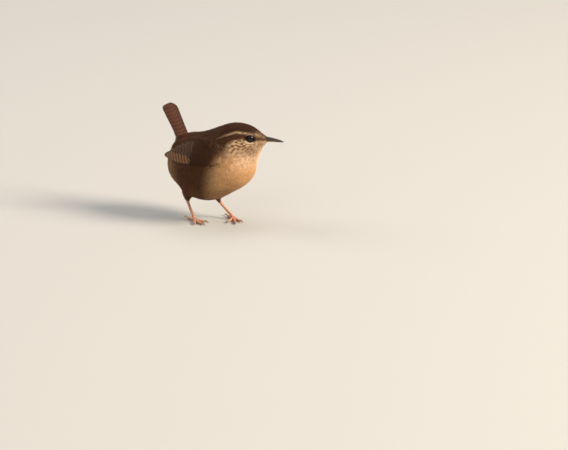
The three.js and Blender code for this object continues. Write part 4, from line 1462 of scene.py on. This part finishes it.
def buildLid(side, hand):
    # a ring of skin round the eye; it swells below and its tube is creased by a fine sine
    centre, rows = eyeFrame(hand)
    a, b = gridOf(turnsOf(72), turnsOf(12))
    below = smoothStep(-0.2, -0.8, np.sin(a))
    tube = eyes["lidTube"] * (1 + 0.25 * below + 0.07 * np.sin(36 * a))
    wide = eyes["lidRadius"] + tube * np.cos(b)
    local = joined(wide * eyes["lidLong"] * np.cos(a), wide * eyes["lidHigh"] * np.sin(a),
                   eyes["lidStand"] + tube * np.sin(b))
    above = within((np.sin(a), 0.35, 0.8), (np.abs(np.cos(a)), 0.8, 0.2))
    pale = np.maximum(0.18 * below, 0.08 * above)[..., None]
    tint = mix(linear(eyes["lidTint"]), linear(eyes["lidPale"]), pale).reshape(-1, 3)
    faces, places = placeFaces(*a.shape, wrapped=True)
    cells = 0.01 + 0.98 * (places / a.shape).reshape(-1, 2)
    points = (centre + local @ rows).reshape(-1, 3)
    lid = makePiece("eyelid" + side, points, [faces], {"OFBake": cells}, {"tint": tint})
    finishPiece(lid, lidMaterial)


def eyeLook():
    # a dark wet ball: its own tint, faintly fibrous
    material, tree, add, shader = newMaterial("eyeGloss")
    tint = add("ShaderNodeAttribute", attribute_name="tint")
    fibre = noise(add, noiseScales["fibre"], 3.0)
    shade = calc(add, "MULTIPLY_ADD", fibre, 0.6, 0.7)
    final = blendTints(add, 1.0, tint.outputs["Color"], greyOf(add, shade), "MULTIPLY")
    tree.links.new(final, shader.inputs["Base Color"])
    shader.inputs["Roughness"].default_value = eyes["roughness"]
    shader.inputs["IOR"].default_value = eyes["ior"]
    return material


eyeMaterial = eyeLook()
for side, hand in sides:
    buildEye(side, hand)
    buildLid(side, hand)
print("stage: eyes")

billShape = {
    "root": 2.4,
    "arch": 0.35,
    "gap": 0.2,
    "Upper": {"reach": 11, "height": 1.78, "width": 1.75, "side": 1},
    "Lower": {"reach": 10.5, "height": 1.15, "width": 1.55, "side": -1},
}
billTints = {
    "ridge": (44, 33, 27),
    "edge": (84, 63, 46),
    # painted shade inside the nostril's opening
    "nostril": (14, 10, 8),
    "horn": (186, 152, 108),
    "tip": (70, 52, 38),
}


def buildBill(label):
    # run goes from the gape to the tip; width and height fall as (1 - run)^0.8; the section is
    # half an ellipse over a slightly hollow floor, with a ridge on top, a hollow at each nostril
    # and the upper tip turned down
    half = billShape[label]
    side, upper = half["side"], label == "Upper"
    t = 1 - (1 - np.linspace(0, 1, 54)) ** 1.25
    forward = mix(-billShape["root"], half["reach"], t)[:, None]
    run = np.clip(forward / half["reach"], 0, 1)
    taper = (1 - run) ** 0.8
    wide = 0.07 + (half["width"] - 0.07) * taper
    tall = 0.1 + (half["height"] - 0.1) * taper
    line = billShape["arch"] * np.sin(2.6 * run) + side * billShape["gap"] / 2
    line = line - upper * 0.16 * smoothStep(0.86, 1, run)
    a = np.linspace(0, math.pi, 27)[None]
    fromRidge = np.abs(a - math.pi / 2)
    groove = upper * bell(forward, 1.5, 1.25) * bell(fromRidge, 0.82, 0.3)
    ridge = 0.1 * bell(a, math.pi / 2, 0.22) * taper
    scale = 1 - 0.2 * groove
    arcAcross = np.cos(a) * wide * scale
    arcOver = (np.sin(a) ** 0.92 * tall + ridge) * scale + 0.06
    c = np.linspace(-0.8, 0.8, 7)[None]
    floorOver = 0.12 * tall * (1 - (c / 0.8) ** 2)
    across = np.concatenate([arcAcross, c * wide], 1)
    over = line + side * np.concatenate([arcOver * np.ones_like(arcAcross), floorOver], 1)
    rings = fromHead(joined(forward, across, over))
    tints = {name: linear(tint) for name, tint in billTints.items()}
    if upper:
        # painted shade: the nostril's slit near black, for the dark inside of its opening
        slit = bell(forward, 1.35, 0.75) * bell(fromRidge, 0.95, 0.13)
        tint = mix(tints["ridge"], tints["edge"], smoothStep(0.5, 1.3, fromRidge)[..., None])
        tint = mix(tint, tints["nostril"], slit[..., None])
    else:
        tint = mix(tints["horn"], tints["tip"], smoothStep(0.3, 0.85, run + 0 * a)[..., None])
    # painted shade: the floor between the two halves a darker copy of the edge's tint
    tint = np.concatenate([tint, np.repeat(tint[:, -1:] * 0.8, 7, axis=1)], 1)
    tubePiece("bill" + label, rings[None], tint[None], billMaterial,
              ("bill_" + label.lower(),))


for label in ("Upper", "Lower"):
    buildBill(label)
print("stage: bill")

bristles = {"count": 9, "long": (1.4, 2.8), "thick": 0.045, "tint": (50, 36, 28)}


def buildBristles(rng):
    # hairs round the gape: each bows forward, out and down, and tapers to nothing
    count = bristles["count"]
    hand = np.repeat([1.0, -1.0], count)
    share = np.tile(np.linspace(0, 1, count), 2)
    start = joined(mix(-0.4, -3.4, share), hand * mix(1.7, 2.6, share), mix(0.9, 0.2, share))
    start = start + rng.uniform(-0.15, 0.15, start.shape)
    way = joined(0.82, hand * 0.62, mix(0.3, -0.35, share))
    way = unit(way + rng.uniform(-0.12, 0.12, way.shape))
    long = rng.uniform(*bristles["long"], 2 * count)
    t = np.linspace(0, 1, 7)[None, :, None]
    path = start[:, None] + way[:, None] * t * long[:, None, None]
    path = path + np.array([0, 0, -0.5]) * t ** 2
    aside = unit(np.cross(way, [0, 0, 1.0]))[:, None, None]
    over = np.cross(aside, way[:, None, None])
    a = turnsOf(4)[None, None, :, None]
    radius = bristles["thick"] * (1 - 0.85 * t[..., None])
    rings = path[:, :, None] + radius * (aside * np.cos(a) + over * np.sin(a))
    tint = linear(bristles["tint"])
    tubePiece("gapeBristles", fromHead(rings), tint, clawMaterial, columns=6)


buildBristles(np.random.default_rng(3))

# legs, feet and claws: each toe's turn in degrees from the foot's bearing, its length, its
# claw's, and its count of plates and pads
toeShape = {
    "hind": {"turn": 0, "length": 6.4, "claw": 3.9, "plates": 7, "pads": 3},
    "inner": {"turn": -30, "length": 6.9, "claw": 2.7, "plates": 8, "pads": 3},
    "middle": {"turn": 0, "length": 9.6, "claw": 3.1, "plates": 11, "pads": 4},
    "outer": {"turn": 27, "length": 7.3, "claw": 2.7, "plates": 8, "pads": 4},
}
legTints = {
    "skin": (200, 136, 102),
    "pale": (218, 166, 132),
    "groove": (150, 90, 64),
    "sole": (198, 134, 102),
    "horn": (206, 172, 132),
    "hornTip": (124, 92, 68),
}
legShape = {
    "shankPlates": 9,
    "shankRadii": (1.12, 0.84, 0.78, 0.83, 0.98),
    "toeRadii": (1.0, 0.84, 0.74, 0.82, 0.67, 0.72, 0.56),
    "toeHeights": (1.05, 0.92, 0.78, 0.7),
    "ball": (1.7, 1.5, 1.1),
    "clawReach": (0, 0.42, 0.8, 1),
    "clawHeights": (0.78, 1.18, 0.88, 0.3),
}


def legTint(name):
    # one of the legs' colours as light
    return linear(legTints[name])


def ringsRound(path, radius, a, flat=1, tall=1):
    # round each place of the path: flat cos a aside, level with the floor, and tall sin a over,
    # square to it and to the path's slope, both times the radius
    along = unit(np.gradient(path, axis=0))
    aside = unit(np.cross([0, 0, 1.0], along))
    over = np.cross(along, aside)
    spokes = (flat * np.cos(a))[..., None] * aside[:, None]
    spokes = spokes + (tall * np.sin(a))[..., None] * over[:, None]
    return path[:, None] + radius[..., None] * spokes


def plateRelief(s, plates):
    # each plate rises towards its end and drops in a short groove; also how deep the groove is
    share = np.mod(s * plates, 1)
    groove = smoothStep(0.84, 0.97, share) + smoothStep(0.1, 0, share)
    return share ** 0.5 * (1 - smoothStep(0.86, 1, share)), np.clip(groove, 0, 1)


def skinTube(path, radii, s, plates, around, taperEnd, pads=0):
    # rings of radius r(s) with raised plates over the top and pads beneath, both ends rounded
    a = turnsOf(around, 0.5)[None]
    s = s[:, None]
    relief, groove = plateRelief(s, plates)
    top = smoothStep(-0.25, 0.35, np.sin(a))
    swell = top * (0.1 * relief - 0.05)
    if pads:
        pad = np.abs(np.sin(math.pi * pads * s)) ** 0.7
        swell = swell + (1 - top) * 0.14 * (pad - 0.4)
    fromEnd = np.clip((s - 0.93) / 0.07, 0, 1) ** 2 * (1 - taperEnd ** 2)
    radius = radii[:, None] * (1 + swell) * np.sqrt(np.clip(1 - fromEnd, 0, 1))
    tint = mix(legTint("skin"), legTint("pale"), (top * relief)[..., None])
    tint = mix(tint, legTint("groove"), (top * groove * 0.8)[..., None])
    tint = mix(tint, legTint("sole"), (1 - top)[..., None])
    return ringsRound(path, radius, a), tint


def buildToe(leg, label, toe):
    # a padded tube along the floor and a claw that arches down from its end
    bearing = leg["hind"] if label == "hind" else leg["heading"] + toe["turn"] * leg["hand"]
    way = np.array([math.cos(math.radians(bearing)), math.sin(math.radians(bearing)), 0])
    ground = np.array(leg["ball"], float) * (1, 1, 0)
    s = np.linspace(0, 1, 84)
    height = np.interp(s, [0, 0.35, 0.7, 1], legShape["toeHeights"])
    height = height + 0.08 * np.sin(s * math.pi * 3)
    path = ground + way * (s * toe["length"])[:, None] + np.array([0, 0, 1.0]) * height[:, None]
    radii = np.interp(s, np.linspace(0, 1, 7), legShape["toeRadii"])
    rings, tint = skinTube(path, radii, s, toe["plates"], 18, 0.25, toe["pads"])
    rings[..., 2] = np.maximum(rings[..., 2], 0.03)
    places = [ground + way * (toe["length"] + toe["claw"] * share) + (0, 0, up)
              for share, up in zip(legShape["clawReach"], legShape["clawHeights"])]
    places[0] = places[0] - 0.25 * way
    t = np.linspace(0, 1, 30)
    a = turnsOf(14, 0.5)[None]
    radii = 0.5 * (1 - t[:, None]) ** 0.62 + 0.03
    keel = 1 + 0.16 * bell(np.sin(a), 1, 0.35)
    claw = ringsRound(curveThrough(places, t), radii, a, 0.72, 1.15 * keel)
    claw[..., 2] = np.maximum(claw[..., 2], 0.02)
    horn = mix(legTint("horn"), legTint("hornTip"), smoothStep(0.2, 1, t)[:, None, None])
    return rings, tint, claw, horn * np.ones((1, 14, 1))


def buildLeg(side):
    # the shank from heel to foot, the toes round a small ball, and the claws
    leg, low = legs[side], side.lower()
    heel, foot = np.array(leg["heel"], float), np.array(leg["ball"], float)
    s = np.linspace(0, 1, 92)
    path = curveThrough([heel, (heel + foot) / 2 - (0, 0, 0.3), foot + (0, 0, 0.7)], s)
    radii = np.interp(s, np.linspace(0, 1, 5), legShape["shankRadii"])
    rings, tint = skinTube(path, radii, s, legShape["shankPlates"], 24, 0.6)
    tubePiece("tarsus" + side, rings[None], tint[None], legMaterial, ("shank_" + low,))
    toes = [buildToe(leg, label, toe) for label, toe in toeShape.items()]
    rings, tints, claws, clawTints = (list(part) for part in zip(*toes))
    ball = foot + ballRings(84, 18)[1] * legShape["ball"]
    ball[..., 2] = np.maximum(ball[..., 2], 0.03)
    rings.append(ball)
    tints.append(legTint("skin") * np.ones((84, 18, 3)))
    tubePiece("foot" + side, np.stack(rings), np.stack(tints), legMaterial,
              ("foot_" + low,), columns=5)
    tubePiece("claws" + side, np.stack(claws), np.stack(clawTints), clawMaterial,
              tuple(f"claw_{low}_{label}" for label in toeShape), columns=4)


for side in legs:
    buildLeg(side)
print("stage: feet")

# camera, lights and floor
studio = {
    "azimuth": 35,
    "elevation": 16,
    "right": 41.6,
    "up": -2.95,
    "lens": 200,
    "sensor": 36,
    "frameWidth": 335,
    "worldTint": (0.8, 0.8, 0.8),
    "worldStrength": 0.3,
    "floorTint": (0.5, 0.49, 0.475),
    "floorReach": 3,
    "floorRoughness": 0.9,
}


def aimAt(item, place, target):
    # stands at the place and looks at the target
    item.location = place
    item.rotation_euler = (Vector(target) - Vector(place)).to_track_quat("-Z", "Y").to_euler()
    bpy.context.scene.collection.objects.link(item)


def wayTo(azimuth, elevation):
    # azimuth 0 is towards -y, 90 towards +x
    a, e = math.radians(azimuth), math.radians(elevation)
    return np.array([math.sin(a) * math.cos(e), -math.cos(a) * math.cos(e), math.sin(e)])


def setCamera():
    # the way back to the camera and the way right across its view place the point it looks at
    back = wayTo(studio["azimuth"], studio["elevation"])
    right = wayTo(studio["azimuth"] + 90, 0)
    aim = toMetres(right * studio["right"] + np.cross(back, right) * studio["up"])
    away = studio["frameWidth"] / studio["sensor"] * studio["lens"] * 0.001
    data = bpy.data.cameras.new("portrait")
    data.lens, data.sensor_width = studio["lens"], studio["sensor"]
    data.clip_start, data.clip_end = 0.05, 20
    camera = bpy.data.objects.new("portrait", data)
    aimAt(camera, tuple(aim + back * away), tuple(aim))
    bpy.context.scene.camera = camera


lamps = {
    "key": {"azimuth": 106, "elevation": 32, "away": 2.7, "size": 1.2, "power": 126,
            "colour": (1, 0.88, 0.72)},
    "fill": {"azimuth": 5, "elevation": 35, "away": 2.2, "size": 1.8, "power": 9.6,
             "colour": (0.96, 0.97, 1)},
    "back": {"azimuth": 285, "elevation": 35, "away": 2.4, "size": 1.6, "power": 22,
             "colour": (1, 0.96, 0.9)},
    "top": {"azimuth": 200, "elevation": 65, "away": 2.0, "size": 1.4, "power": 12,
            "colour": (1, 0.98, 0.95)},
}


def setLamps():
    # soft round lamps about the middle of the bird, and an even pale surrounding
    middle = toMetres(np.array([0, 0, 33.0]))
    for label, lamp in lamps.items():
        data = bpy.data.lights.new(label, "AREA")
        data.shape, data.size = "DISK", lamp["size"]
        data.energy, data.color = lamp["power"], lamp["colour"]
        place = middle + wayTo(lamp["azimuth"], lamp["elevation"]) * lamp["away"]
        aimAt(bpy.data.objects.new(label, data), tuple(place), tuple(middle))
    world = bpy.data.worlds.new("studio")
    world.use_nodes = True
    sky = world.node_tree.nodes["Background"].inputs
    sky[0].default_value = (*studio["worldTint"], 1)
    sky[1].default_value = studio["worldStrength"]
    bpy.context.scene.world = world
    bpy.context.scene.view_settings.view_transform = "Standard"


def setFloor():
    # a plain square
    material, _, _, shader = newMaterial("paleFloor")
    shader.inputs["Base Color"].default_value = (*studio["floorTint"], 1)
    shader.inputs["Roughness"].default_value = studio["floorRoughness"]
    mesh = bpy.data.meshes.new("floor")
    r = studio["floorReach"]
    mesh.from_pydata([(-r, -r, 0), (r, -r, 0), (r, r, 0), (-r, r, 0)], [], [(0, 1, 2, 3)])
    mesh.materials.append(material)
    floor = bpy.data.objects.new("floor", mesh)
    bpy.context.scene.collection.objects.link(floor)


setCamera()
setLamps()
setFloor()
print("stage: studio")
